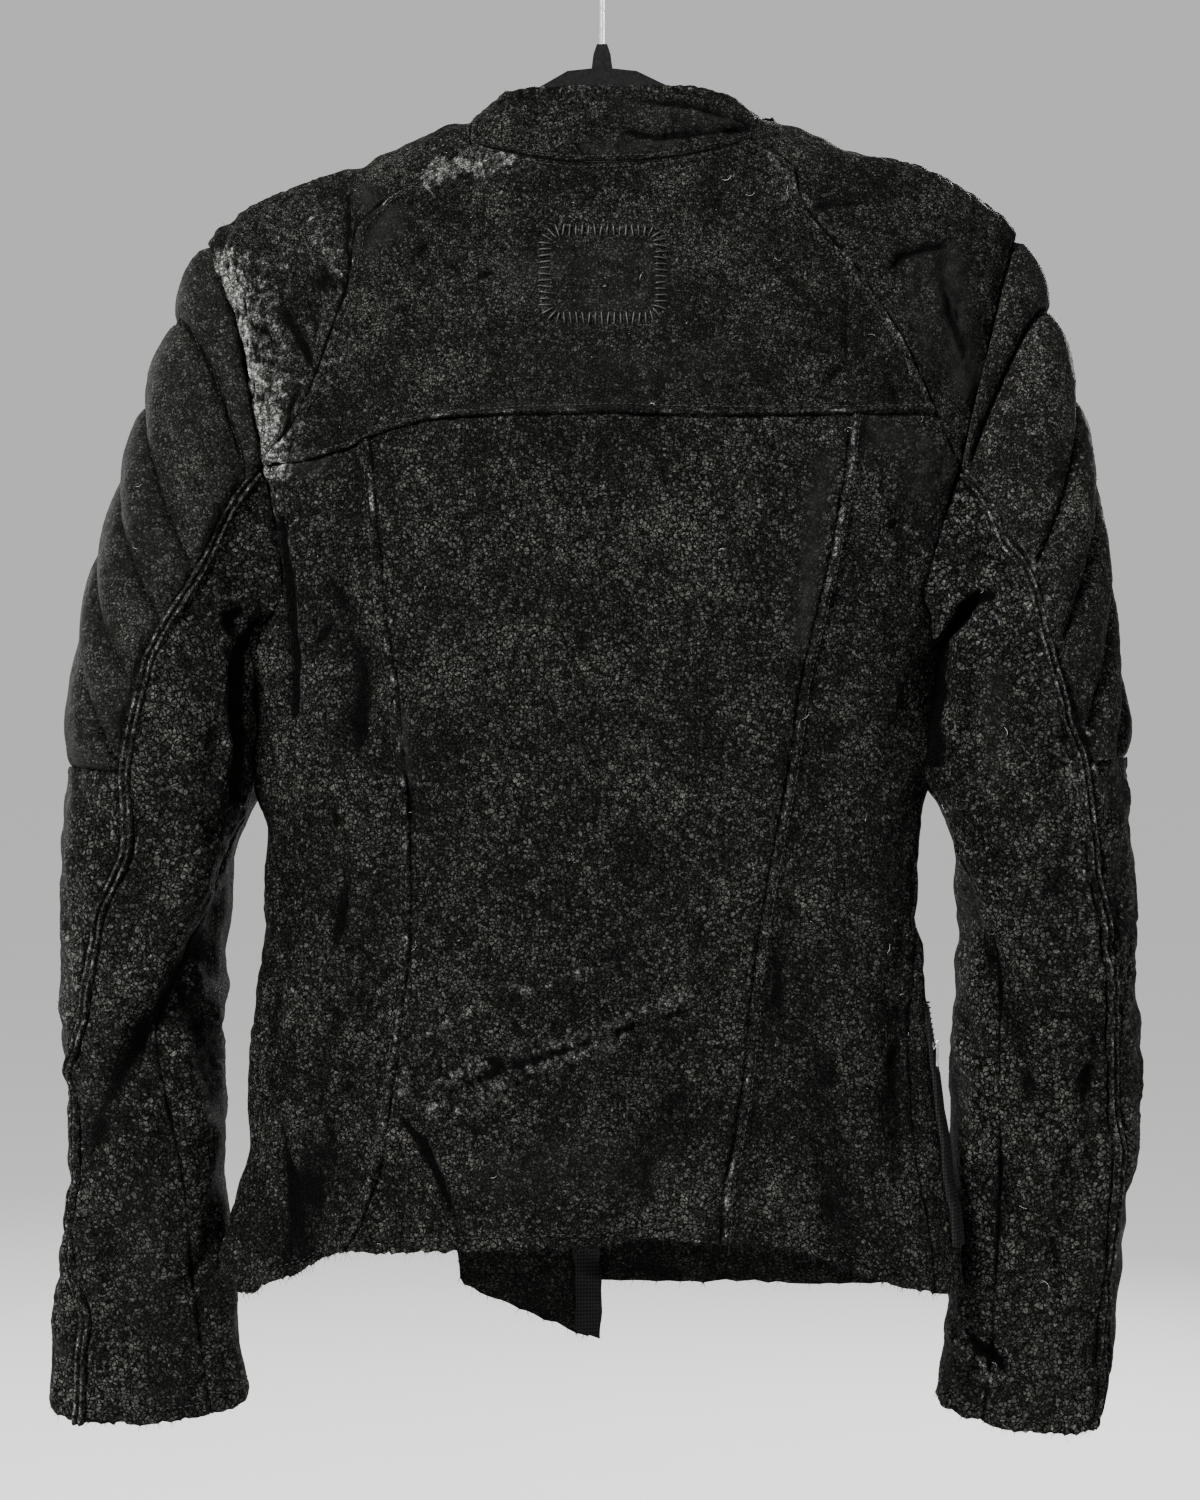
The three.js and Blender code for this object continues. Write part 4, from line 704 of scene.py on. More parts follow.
def mesh_object(name, points, faces, material, smooth=True, **attributes):
    """A mesh from points in mm and faces that are all triangles, all quads, or a list of both."""
    mesh = bpy.data.meshes.new(name)
    groups = faces if isinstance(faces, list) else [faces]
    groups = [np.asarray(group, np.int32) for group in groups if len(group)]
    totals = np.concatenate([np.full(len(group), group.shape[1], np.int32) for group in groups])
    corners = np.concatenate([group.ravel() for group in groups])
    mesh.vertices.add(len(points))
    mesh.vertices.foreach_set("co", np.asarray(points, np.float32).ravel() * MM)
    mesh.loops.add(len(corners))
    mesh.loops.foreach_set("vertex_index", corners)
    mesh.polygons.add(len(totals))
    mesh.polygons.foreach_set("loop_start", np.concatenate([[0], np.cumsum(totals)[:-1]]).astype(np.int32))
    mesh.polygons.foreach_set("use_smooth", np.full(len(totals), smooth))
    for label, values in attributes.items():
        layer = mesh.attributes.new(label, "FLOAT", "POINT")
        layer.data.foreach_set("value", np.asarray(values, np.float32).ravel())
    mesh.update(calc_edges=True)
    mesh.validate()
    mesh.materials.append(material)
    piece = bpy.data.objects.new(name, mesh)
    bpy.context.scene.collection.objects.link(piece)
    return piece


def border(rows, columns, width):
    """The indices round a grid's edge, for its last row and column."""
    j, i = np.arange(columns), np.arange(rows)
    return np.concatenate([j, i * width + columns, rows * width + columns - j, (rows - i) * width])


def wall_faces(rows, columns):
    """Quads of a closed wall: the outer grid, the inner grid after it, and the rim between them."""
    width, layer = columns + 1, (rows + 1) * (columns + 1)
    a = (np.arange(rows)[:, None] * width + np.arange(columns)).ravel()
    outer = np.stack([a, a + width, a + width + 1, a + 1], axis=1)
    inner = np.stack([a, a + 1, a + width + 1, a + width], axis=1) + layer
    loop = border(rows, columns, width)
    after = np.roll(loop, -1)
    return np.concatenate([outer, inner, np.stack([loop, after, after + layer, loop + layer], axis=1)])


def grid_normals(points):
    return unit(np.cross(np.gradient(points, axis=0), np.gradient(points, axis=1)))


def surface_normals(surface, u, v, step_u, step_v, centre):
    """Normals of surface(u, v), pointing away from centre, the same on both sides of any seam."""
    across = surface(u + step_u, v) - surface(u - step_u, v)
    down = surface(u, v + step_v) - surface(u, v - step_v)
    normals = unit(np.cross(across, down))
    points = surface(u, v)
    return np.where(np.sum(normals * (points - centre), axis=-1, keepdims=True) > 0, normals, -normals)


def edge_distances(points):
    """How far each point of a grid is from each of its four sides, in mm along the surface."""
    down = np.linalg.norm(np.diff(points, axis=0), axis=-1)
    over = np.linalg.norm(np.diff(points, axis=1), axis=-1)
    top = np.concatenate([np.zeros((1, points.shape[1])), np.cumsum(down, axis=0)])
    left = np.concatenate([np.zeros((points.shape[0], 1)), np.cumsum(over, axis=1)], axis=1)
    return {"top": top, "bottom": top[-1:] - top, "left": left, "right": left[:, -1:] - left}


# How the leather lies beside an edge of each kind: bumps in its height and in its wear, each as (size, how
# far in from the edge, width), with heights and places in mm. A band shows the allowance turned under the
# piece, "piped" lies beside piping, and "neck" also holds the creases down.
EDGE_BUMPS = {
    "plain": ([(-1.1, 0, 1.0), (0.45, 4.5, 2.5)], [(0.16, 2.2, 1.4)]),
    "band": ([(-1.1, 0, 1.0), (-0.6, STITCH_ROW, 1.1)], [(0.36, 2.2, 1.3)]),
    "hem": ([(-0.9, HEM, 1.2), (-0.5, 0, 1.0)], [(0.25, 0, 2.2)]),
    "piped": ([(-0.9, 0, 1.3), (-1.5, 4.2, 1.0), (0.5, 7, 2)], [(0.22, 6.4, 1.4)]),
    "cut": ([(-0.3, 0, 1.0)], [(0.2, 0, 2.0)]),
    "flat": ([(-0.35, 0, 1.2)], []),
    "neck": ([(-0.35, 0, 1.2)], []),
}


def edges_are(kinds):
    """The kinds of a piece's top, bottom, left and right edge."""
    return dict(zip(("top", "bottom", "left", "right"), kinds.split()))


def seam_profile(kind, far):
    """The height and wear at each distance from an edge."""
    height, wear = (sum((size * bell(far - place, width) for size, place, width in bumps), 0 * far)
                    for bumps in EDGE_BUMPS[kind])
    if kind == "band":
        height += 1.6 * (smoothstep(0.6, 2.4, far) - smoothstep(STITCH_ROW - 0.6, STITCH_ROW + 2, far))
    if kind == "hem":
        height += 0.5 * (1 - smoothstep(HEM, HEM + 2.5, far))
    return height, wear


surfaces = {}  # each piece's outer grid and normals, for what is sewn on it


def leather_piece(name, points, normals, relief, edges, material, wall=WALL, ragged=0.0):
    """A wall of leather whose outer face stands over points by relief = (height, wear, smooth, hollow)."""
    height, wear, smooth, hollow = relief
    far = edge_distances(points)
    seams, gap = np.zeros(height.shape), np.zeros(points.shape)
    ways = {edge: unit(np.gradient(points, axis=k)) for k, edge in enumerate(("top", "left"))}
    ways["bottom"], ways["right"] = -ways["top"], -ways["left"]
    for side, kind in edges.items():
        if kind == "neck":
            height = height * smoothstep(0.5, 9, far[side])
            # painted shade along the neck seam
            hollow = np.maximum(hollow, 0.6 * bell(far[side], 1.6))
        rise, rubbed = seam_profile(kind, far[side])
        seams += rise
        wear = np.maximum(wear, rubbed * (1 + 0.8 * ripple(points, 22, 9)))
        close = bell(far[side], 2.0)[..., None]
        if kind in ("hem", "cut") and ragged:
            torn = np.abs(ripple(points, 7, 11)) + 0.6 * np.abs(ripple(points, 2.6, 12))
            gap += ways[side] * close * ragged * torn[..., None]
        elif kind not in ("hem", "cut"):
            gap += ways[side] * bell(far[side], 0.6)[..., None] * SEAM_GAP
    outer = points + gap + normals * (height + seams)[..., None]
    inner = points + gap + normals * (height * 0.9 - wall)[..., None]
    faces = wall_faces(points.shape[0] - 1, points.shape[1] - 1)
    if np.sum(grid_normals(points) * normals) < 0:
        faces = faces[:, ::-1]
    piece = mesh_object(
        name, np.concatenate([outer.reshape(-1, 3), inner.reshape(-1, 3)]), faces, material,
        wear=np.concatenate([np.clip(wear, 0, 1).ravel(), np.zeros(wear.size)]),
        # painted shade, darker in the dips beside seams
        hollow=np.concatenate([np.clip(hollow - seams / SHADED_DIP, 0, 1).ravel(),
                               # the inner face is given painted shade all over
                               np.full(wear.size, INSIDE_PAINTED_SHADE)]),
        smoothed=np.concatenate([np.clip(smooth, 0, 1).ravel(), np.full(wear.size, INSIDE_SMOOTH)]))
    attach(piece, BODY)
    surfaces[name.removesuffix("_leather")] = dict(points=outer, normals=normals)
    return piece


def outward(points, centre):
    """A grid's normals, turned to point away from centre."""
    normals = grid_normals(points)
    return normals if np.sum(normals * (points - centre)) > 0 else -normals


# ------------------------------------------------------------------------------------------------
# Materials
# ------------------------------------------------------------------------------------------------


class Shader:
    """Builds one node material."""

    def __init__(self, name):
        self.material = bpy.data.materials.new(name)
        self.material.use_nodes = True
        self.nodes = self.material.node_tree.nodes
        self.links = self.material.node_tree.links
        self.nodes.clear()
        self.bsdf = self.add("ShaderNodeBsdfPrincipled")
        output = self.add("ShaderNodeOutputMaterial")
        self.links.new(self.bsdf.outputs[0], output.inputs[0])
        self.coords = self.add("ShaderNodeTexCoord").outputs["Object"]

    def connect(self, value, socket):
        if isinstance(value, bpy.types.NodeSocket):
            self.links.new(value, socket)
        else:
            socket.default_value = value

    def add(self, kind, inputs=None, **settings):
        node = self.nodes.new(kind)
        for key, value in settings.items():
            setattr(node, key, value)
        for key, value in (inputs or {}).items():
            self.connect(value, node.inputs[key])
        return node

    def math(self, operation, a, b=0.0, clamp=False):
        return self.add("ShaderNodeMath", {0: a, 1: b}, operation=operation, use_clamp=clamp).outputs[0]

    def times(self, a, b, clamp=False):
        return self.math("MULTIPLY", a, b, clamp)

    def swing(self, noise, size):
        """Noise about 0 instead of a half, and times size."""
        return self.times(self.math("SUBTRACT", noise, 0.5), size)

    def spread(self, value, low, high, to_low=0.0, to_high=1.0):
        """A smooth ramp of value from low to high."""
        return self.add("ShaderNodeMapRange", {"Value": value, "From Min": low, "From Max": high,
                                               "To Min": to_low, "To Max": to_high},
                        interpolation_type="SMOOTHSTEP").outputs[0]

    def noise(self, size, detail=3.0, rough=0.55):
        """Noise whose features are about size mm."""
        return self.add("ShaderNodeTexNoise", {"Vector": self.coords, "Scale": 1 / (size * MM),
                                               "Detail": detail, "Roughness": rough}).outputs[0]

    def cells(self, size, feature, output, coords):
        return self.add("ShaderNodeTexVoronoi", {"Vector": coords, "Scale": 1 / (size * MM)},
                        feature=feature).outputs[output]

    def blend(self, factor, a, b):
        return self.add("ShaderNodeMix", {0: factor, 6: a, 7: b}, data_type="RGBA").outputs[2]

    def attribute(self, name):
        return self.add("ShaderNodeAttribute", attribute_name=name).outputs["Fac"]

    def bump(self, height, depth, strength=1.0, under=None):
        node = self.add("ShaderNodeBump", {"Height": height, "Distance": depth * MM, "Strength": strength})
        if under is not None:
            self.links.new(under, node.inputs["Normal"])
        return node.outputs[0]

    def finish(self, **inputs):
        for key, value in inputs.items():
            self.connect(value, self.bsdf.inputs[key.replace("_", " ")])
        return self.material


def grey(value, warm=0.0):
    return (value, value, value * (1 - warm), 1.0)


# the near black that is blended into creases and seams is painted shade
BLACK_HIDE, DARK_HIDE, CRACK, SHADE = grey(0.0015, 0.06), grey(0.005, 0.06), grey(0.0004), grey(0.0005)
# the grey of the grain's high places stands for dust and also for a painted highlight where raised pebbles
# catch the light
DUST_AND_HIGHLIGHT, BURNISHED, RUBBED = grey(0.1, 0.12), grey(0.016, 0.05), grey(0.52, 0.06)
LEATHER_SHEEN = 0.035
WARP = 5  # how far, and over how many mm, the grain's cells are pushed out of line
LEATHER_GRAIN = 2.2  # mm from one pebble of the grain to the next


def leather_material(name, grain=LEATHER_GRAIN, pale=1.0):
    """Old split leather: a dark pebble grain broken by fine cracks, grey with dust and a painted highlight on
    its high places, painted shade in its creases and seams, and rubbed pale where the mesh's wear says so."""
    s = Shader(name)
    wear, smooth, hollow = s.attribute("wear"), s.attribute("smoothed"), s.attribute("hollow")
    warp = s.add("ShaderNodeTexNoise", {"Vector": s.coords, "Scale": 1 / (WARP * MM),
                                        "Detail": 3.0}).outputs[1]
    moved = s.add("ShaderNodeVectorMath", {0: warp, 1: (WARP * MM,) * 3}, operation="MULTIPLY").outputs[0]
    coords = s.add("ShaderNodeVectorMath", {0: s.coords, 1: moved}, operation="ADD").outputs[0]
    pebble = s.spread(s.cells(grain, "DISTANCE_TO_EDGE", 0, coords), 0.02, 0.2)
    curl = s.spread(s.cells(grain * 0.5, "DISTANCE_TO_EDGE", 0, coords), -0.06, 0.2)
    cell = s.add("ShaderNodeSeparateColor", {0: s.cells(grain, "F1", 1, coords)}).outputs[0]
    speck = s.noise(grain * 0.9, 3.0, 0.65)
    patches = s.noise(42, 4.0, 0.6)
    mottle = s.noise(9, 4.0, 0.65)
    coarse = s.math("SUBTRACT", 1.0, smooth, clamp=True)

    chance = s.times(cell, 0.6)
    for noise, size in ((speck, 1.3), (patches, 1.2), (mottle, 0.9)):
        chance = s.math("ADD", chance, s.swing(noise, size))
    high = s.times(s.spread(pebble, 0, 1), s.spread(curl, 0, 1, 0.4))
    # grey on the raised pebbles: dust, and a painted highlight in their colour
    dust_and_highlight = s.times(s.spread(chance, 0.0, 1.15, 0.05), high)
    dust_and_highlight = s.times(dust_and_highlight, s.spread(coarse, 0.0, 1.0, 0.2))
    # less of that grey where shade is painted
    dust_and_highlight = s.times(dust_and_highlight, s.spread(hollow, 0.15, 0.8, 1.0, 0.1))

    crinkle = s.math("ABSOLUTE", s.math("SUBTRACT", s.noise(6, 5.0, 0.72), 0.5))
    crinkle = s.spread(crinkle, 0.0, 0.1)
    torn = s.math("ADD", wear, s.swing(s.noise(5, 5.0, 0.72), 2.4))
    torn = s.times(s.spread(torn, 0.25, 1.3), s.spread(crinkle, 0, 1, 0.15))
    torn = s.times(torn, s.spread(wear, 0.02, 0.25))
    torn = s.times(torn, s.spread(high, 0.0, 0.6, 0.3))
    torn = s.times(torn, s.spread(hollow, 0.15, 0.6, 1.0, 0.15))

    dark = s.blend(patches, BLACK_HIDE, DARK_HIDE)
    dark = s.blend(s.math("SUBTRACT", 1.0, high), dark, CRACK)
    worn_smooth = s.times(smooth, s.spread(mottle, 0.3, 0.75, 0.1, 0.55))
    colour = s.blend(s.times(dust_and_highlight, pale, clamp=True), dark, DUST_AND_HIGHLIGHT)
    colour = s.blend(worn_smooth, colour, BURNISHED)
    colour = s.blend(s.times(torn, 0.95, clamp=True), colour, RUBBED)
    # painted shade: creases, seam dips, quilting grooves, folds and the inner face darkened towards black
    colour = s.blend(s.spread(hollow, 0.38, 0.75, 0.0, 0.9), colour, SHADE)
    height = s.times(s.math("ADD", pebble, s.times(curl, 0.9)), s.spread(coarse, 0, 1, 0.3))
    height = s.math("ADD", height, s.times(mottle, 2.0))
    height = s.math("ADD", height, s.times(crinkle, s.spread(wear, 0, 0.6, 0.35, 1.4)))
    normal = s.bump(height, 0.3 * grain, 1.0, s.bump(s.noise(0.8, 3.0), 0.15, 0.7))
    rough = s.spread(patches, 0.3, 0.7, 0.5, 0.68)
    return s.finish(Base_Color=colour, Roughness=rough, Normal=normal, Specular_IOR_Level=LEATHER_SHEEN)


def plain_material(name, colour, roughness, metallic=0.0, grain=0.6, depth=0.06, spread=0.25, specular=0.5):
    """A finish with fine unevenness in its colour, roughness and surface."""
    s = Shader(name)
    cloud = s.noise(grain * 12, 4.0)
    tint = s.blend(cloud, *[tuple(min(c * share, 1) for c in colour[:3]) + (1.0,)
                            for share in (1 - spread, 1 + spread)])
    rough = s.spread(s.noise(grain * 5, 3.0), 0.3, 0.7, roughness * 0.85, min(roughness * 1.15, 1))
    return s.finish(Base_Color=tint, Roughness=rough, Metallic=metallic, Specular_IOR_Level=specular,
                    Normal=s.bump(s.noise(grain, 2.0), depth, 0.7))


def tape_material():
    s = Shader("zip_tape_cloth")
    wave, cross = (
        s.add("ShaderNodeTexWave", {"Vector": s.coords, "Scale": 1 / (pitch * MM) / 6.3, "Distortion": 0.6},
              bands_direction=way).outputs[1] for pitch, way in ((1.1, "Z"), (0.9, "X")))
    weave = s.times(wave, cross)
    return s.finish(Base_Color=s.blend(weave, grey(0.003), grey(0.016)), Roughness=0.85,
                    Specular_IOR_Level=0.1, Normal=s.bump(weave, 0.25, 0.8))


LEATHER = leather_material("worn_leather", pale=0.9)
FINE_LEATHER = leather_material("worn_leather_fine_grain", grain=1.7, pale=0.8)
SLEEVE_LEATHER = leather_material("worn_leather_coarse_grain", grain=2.6, pale=1.1)
PAD_LEATHER = leather_material("quilted_leather", grain=1.9, pale=1.4)
TAPE_CLOTH = tape_material()
THREAD = plain_material("waxed_thread", grey(0.012), 0.5, grain=0.4, depth=0.1, specular=0.3)
FIBRE = plain_material("loose_fibre", grey(0.012), 0.85, grain=0.3, specular=0.1)
LINT = plain_material("pale_lint", grey(0.42, 0.02), 0.8, grain=0.3)
NICKEL = plain_material("worn_nickel", grey(0.62, 0.02), 0.32, metallic=1.0, grain=0.8, depth=0.03,
                        spread=0.1)
STEEL = plain_material("steel_wire", grey(0.55), 0.25, metallic=1.0, grain=0.7, depth=0.02, spread=0.08)
TEETH = plain_material("blackened_metal", grey(0.014), 0.5, metallic=0.7, grain=0.7, depth=0.03, spread=0.4)
FLOCK = plain_material("flocked_plastic", grey(0.004), 0.85, grain=0.35, depth=0.12, specular=0.1)

# ------------------------------------------------------------------------------------------------
# Torso pieces
# ------------------------------------------------------------------------------------------------

FINE, COARSE = ((9.5, 5.5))

# name: top, bottom, left and right sides; the fineness; how each edge is made; the cut's width, length
# and flat area in metres.
TORSO_PIECES = {
    "back_yoke": (
        [("neck_back", NECK_BACK_CUTS)],
        [("yoke_left", 5), ("yoke", 11), ("yoke_right", 6)],
        [("diagonal_left", 8)], [("diagonal_right", 8)],
        FINE, edges_are("neck band band band"), (0.40, 0.20, 0.052)),
    "shoulder_left": (
        [("neck_side_left", 5), ("neck_side_front_left", 2)],
        [("left", "low_to_tip"), ("left", "tip_to_shoulder")],
        [("diagonal_left", 8)], [("shoulder_front_left", 8)],
        FINE, edges_are("neck plain plain plain"), (0.19, 0.21, 0.022)),
    "shoulder_right": (
        [("neck_side_right", 5), ("neck_side_front_right", 2)],
        [("right", "low_to_tip"), ("right", "tip_to_shoulder")],
        [("diagonal_right", 8), ("diagonal_foot", 2)], [("shoulder_front_right", 10)],
        FINE, edges_are("neck plain plain plain"), (0.19, 0.22, 0.023)),
    "back_centre": (
        [("yoke", 11)], [("hem_back", 11)], [("princess_left", 21)], [("princess_right", 21)],
        FINE, edges_are("plain hem plain plain"), (0.28, 0.48, 0.105)),
    "back_side_left": (
        [("yoke_left", 5)], [("hem_side_back_left", 5)],
        [("left", "-armpit_to_low"), ("side_left", 16)], [("princess_left", 21)],
        FINE, edges_are("plain hem plain band"), (0.13, 0.50, 0.052)),
    "back_side_right": (
        [("yoke_right", 6)], [("hem_side_back_right", 6)],
        [("princess_right", 21)], [("diagonal_foot", 2), ("right", "-armpit_to_low"), ("side_right", 14)],
        FINE, edges_are("plain hem band plain"), (0.14, 0.51, 0.056)),
    "front_left": (
        [("-shoulder_front_left", 8)],
        [("hem_front_side_left", 4, 1.3), ("flap_step", 1), ("flap_hem", 3)],
        [("left", "shoulder_to_low"), ("left", "low_to_armpit"), ("side_left", 16)],
        [("neck_front_left", 4), ("chest_left", 4), ("front_edge_left", 16)],
        COARSE, edges_are("band cut plain hem"), (0.25, 0.68, 0.135)),
    "front_right": (
        [("-shoulder_front_right", 10)],
        [("hem_front_side_right", 2), ("hem_front_right", 8, 1.3)],
        [("right", "shoulder_to_low"), ("right", "low_to_armpit"), ("side_right", 14)],
        [("neck_front_right", 4), ("chest_right", 4), ("front_edge_right", 14)],
        COARSE, edges_are("band hem plain hem"), (0.27, 0.65, 0.145)),
}

FINE_GRAINED = ("back_yoke", "shoulder_left", "shoulder_right")

# Rolls of slack leather that hang at the sides under the arms: the turn or angle they are at, how wide they
# are in radians, how far they stand out in mm, and the heights they hang between.
SIDE_ROLLS = [dict(at=0.12, width=0.17, height=7.8, top=-398, foot=-534),
              dict(at=PI, width=0.2, height=7, top=-396, foot=-515),
              dict(at=PI - 0.13, width=0.13, height=5.5, top=-575, foot=-775)]
SLEEVE_ROLLS = {"left": dict(at=-(PI - 0.28), width=0.3, height=7, top=-415, foot=-526),
                "right": dict(at=PI - 0.12, width=0.36, height=13, top=-392, foot=-515)}
FOLD_SHADE = 0.045  # the painted shade of a large fold for each mm of its depth


def roll(around, z, at, width, height, top, foot):
    hang = smoothstep(top, top - 22, z) * smoothstep(foot, foot + 32, z)
    return height * bell(wrapped(around - at), width) * hang


def by_side(s, back, front, fade):
    """What is laid out on the back and on the front. Its height and painted shade fade out at the side."""
    height, wear, smooth, hollow = (np.where(s > 0, b, f) for b, f in zip(back, front))
    return height * fade, wear, smooth, hollow * fade


def torso_relief(patch, points):
    turn = patch[..., 0]
    s = np.sin(turn)
    laid = by_side(s, laid_out("back", points), laid_out("front", points), smoothstep(0, 0.16, np.abs(s)))
    height, wear, smooth, hollow = crumpled(points, laid, TORSO_SLACK)
    x, z = points[..., 0], points[..., 2]
    for side_roll in SIDE_ROLLS:
        height = height + roll(turn, z, **side_roll)
    for side, width, at, depth in FOLDS:
        # shade painted into the troughs of the large folds
        shade = FOLD_SHADE * depth(z) * bell(x - at(z), width)
        hollow = hollow + np.where((s > 0) == (side == "back"), np.clip(shade, 0, 0.5), 0)
    return height, wear, smooth, hollow


def declare_cloth(solid):
    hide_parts(solid)


def add_torso_piece(name, top, bottom, left, right, fineness, edges, cut):
    patch = fill_patch(run(*top), run(*bottom), run(*left), run(*right), fineness)
    points = torso_point(patch[..., 0], patch[..., 1])
    axis = points * np.array([0, 0, 1]) + np.array([0, 0, -10.0]) * (patch[..., 1:] > -200)
    normals = surface_normals(torso_point, patch[..., 0], patch[..., 1], 0.01, 1.0, axis)
    material = FINE_LEATHER if name in FINE_GRAINED else LEATHER
    piece = leather_piece(name + "_leather", points, normals, torso_relief(patch, points), edges, material,
                          ragged=1.3)
    declare_cloth(name)
    surfaces[name].update(rows=fine_steps(run(*left)[1], fineness),
                          columns=fine_steps(run(*top)[1], fineness))


for name, spec in TORSO_PIECES.items():
    add_torso_piece(name, *spec)

# ------------------------------------------------------------------------------------------------
# Collar
# ------------------------------------------------------------------------------------------------

COLLAR_HEIGHT_CUTS = 3
COLLAR_BULGE = 2
LEFT_BACK = CUTS["neck_front"] + CUTS["tip_to_shoulder"] + CUTS["low_to_tip"]
RIGHT_BACK = LEFT_BACK + NECK_BACK_CUTS
NECK_END = RIGHT_BACK + LEFT_BACK
# The collar's top edge as (step round the neck, point), from the left front round the back to the right.
COLLAR_TOP = [
    (0, (-15, 50, -152)), (2, (-38, 44, -146)), (4, (-55, 25, -124)), (6, (-51, 0, -105)),
    (LEFT_BACK, (-57, -27, -108.5)), (LEFT_BACK + NECK_BACK_CUTS * 0.2, (-38, -41, -107)),
    (LEFT_BACK + NECK_BACK_CUTS / 2, (8, -44.5, -107)),
    (RIGHT_BACK - NECK_BACK_CUTS * 0.2, (46, -42, -106.5)), (RIGHT_BACK, (75, -31, -111)),
    (RIGHT_BACK + 5, (67, 0, -108)), (RIGHT_BACK + 7, (64, 25, -125)),
    (NECK_END - 2, (42, 45, -147)), (NECK_END, (9, 52, -153))]


def add_collar():
    neck = run(("-neck_front_left", 4), ("-neck_side_front_left", 2), ("-neck_side_left", 5),
               ("neck_back", NECK_BACK_CUTS), ("neck_side_right", 5), ("neck_side_front_right", 2),
               ("neck_front_right", 4))
    steps = fine_steps(NECK_END, FINE * 0.8)
    rise = 1 - fine_steps(COLLAR_HEIGHT_CUTS, FINE * 0.7)[:, None, None] / COLLAR_HEIGHT_CUTS
    foot = torso_point(*neck[0](steps).T)
    top = np.stack([through([(at, point[k]) for at, point in COLLAR_TOP])(steps) for k in range(3)], axis=-1)
    away = unit(foot * np.array([1, 1, 0]))
    points = mix(foot[None], top[None], rise) + away[None] * COLLAR_BULGE * 4 * rise * (1 - rise)
    normals = outward(points, np.array([5, 0, -130.0]))
    back = points[..., 1] < 0
    laid = tuple(np.where(back, values, 0) for values in laid_out("collar back", points))
    relief = crumpled(points, laid, COLLAR_SLACK)
    edges = edges_are("cut neck hem hem")
    piece = leather_piece("collar_leather", points, normals, relief, edges, FINE_LEATHER, ragged=0.5)
    declare_cloth("collar")


add_collar()

# ------------------------------------------------------------------------------------------------
# Sleeves
# ------------------------------------------------------------------------------------------------

EVEN_FROM = 4
STATION_LENGTH = 52  # about how many mm of sleeve a station stands for
# The quilting lines, each from its notch in the sleeve's outline to the piping on the back.
QUILTS = {
    "left": [((-243.5, -240), (-212, -335)), ((-258, -283), (-236, -369)), ((-268, -321), (-253, -400)),
             ((-279, -363), (-265, -444)), ((-289.5, -395), (-275, -484))],
    "right": [((257, -230), (213, -332)), ((268, -276), (240, -384)), ((276, -315), (254, -428)),
              ((283.5, -363), (267, -478)), ((289, -400), (277, -530))],
}
PUFF = 8  # how far a roll of the pad stands out
GROOVE = 1.5  # half the width of the groove along a quilting line
QUILT_SLANT = 0.75  # a quilting line runs down the sleeve as well as round it
PAD_SLACK = 0.4  # the share of the sleeve's creases that a pad keeps
PAD_SMOOTH = {"left": 0.55, "right": 0.2}


def quilt_lines(side):
    """Each quilting line as the station where it crosses the outer edge, and its slope against the angle."""
    lines = []
    for notch, foot in QUILTS[side]:
        first, _ = on_sleeve(side, *notch)
        last, angle = on_sleeve(side, *foot)
        lines.append((first, (last - first) / angle))
    return lines


def quilting(side, station, angle):
    """How far the pad stands out between its quilting lines, and how deep in a groove each point is."""
    lines = [first + slope * np.abs(angle) for first, slope in quilt_lines(side)]
    off = np.min([np.abs(station - line) for line in lines], axis=0) * STATION_LENGTH * QUILT_SLANT
    lines = [np.zeros(station.shape), *lines, np.full(station.shape, PAD_END)]
    height = np.zeros(station.shape)
    for low, high in zip(lines, lines[1:]):
        t = np.clip((station - low) / np.maximum(high - low, 0.05), 0, 1)
        height = np.maximum(height, PUFF * smoothstep(0, 0.35, high - low) * (4 * t * (1 - t)) ** 0.6)
    groove = bell(off, GROOVE)
    return height - 1.6 * groove, groove


def hole_angles(side, spans, steps):
    """The armhole's own angle at each step number along some of its spans."""
    angle, begun = np.zeros(len(steps)), 0
    for span in spans:
        first, last = HOLE_SPANS[span](side)
        here = (steps >= begun) & (steps <= begun + CUTS[span])
        angle[here] = mix(first, last, (steps[here] - begun) / CUTS[span])
        begun += CUTS[span]
    return angle


def sleeve_grid(side, low, high, spans, from_seam, to_seam):
    count = sum(CUTS[span] for span in spans)
    steps = fine_steps(count, FINE * 0.68)
    stations = low + fine_steps((high - low) * STATION_LENGTH / 22, FINE * 0.9) * 22 / STATION_LENGTH
    angles = hole_angles(side, spans, steps)
    by_angle = (angles - angles[0]) / (angles[-1] - angles[0])
    station = np.broadcast_to(stations[:, None], (len(stations), len(steps)))
    share = mix(by_angle[None], steps[None] / count, smoothstep(0, EVEN_FROM, station))
    return station, mix(from_seam(station), to_seam(station), share)


def sleeve_normals(side, station, angle):
    centre = (plain_ring(side, station, 0 * station) + plain_ring(side, station, 0 * station + PI)) / 2
    return surface_normals(lambda u, v: sleeve_point(side, u, v), station, angle, 0.02, 0.02, centre)


def sleeve_relief(side, points, angle):
    s = np.sin(angle)
    laid = by_side(s, laid_out(f"{side} sleeve back", points), laid_out(f"{side} sleeve front", points),
                   smoothstep(0, 0.3, np.abs(s)))
    height, wear, smooth, hollow = crumpled(points, laid, SLEEVE_SLACK)
    return height + roll(angle, points[..., 2], **SLEEVE_ROLLS[side]), wear, smooth, hollow


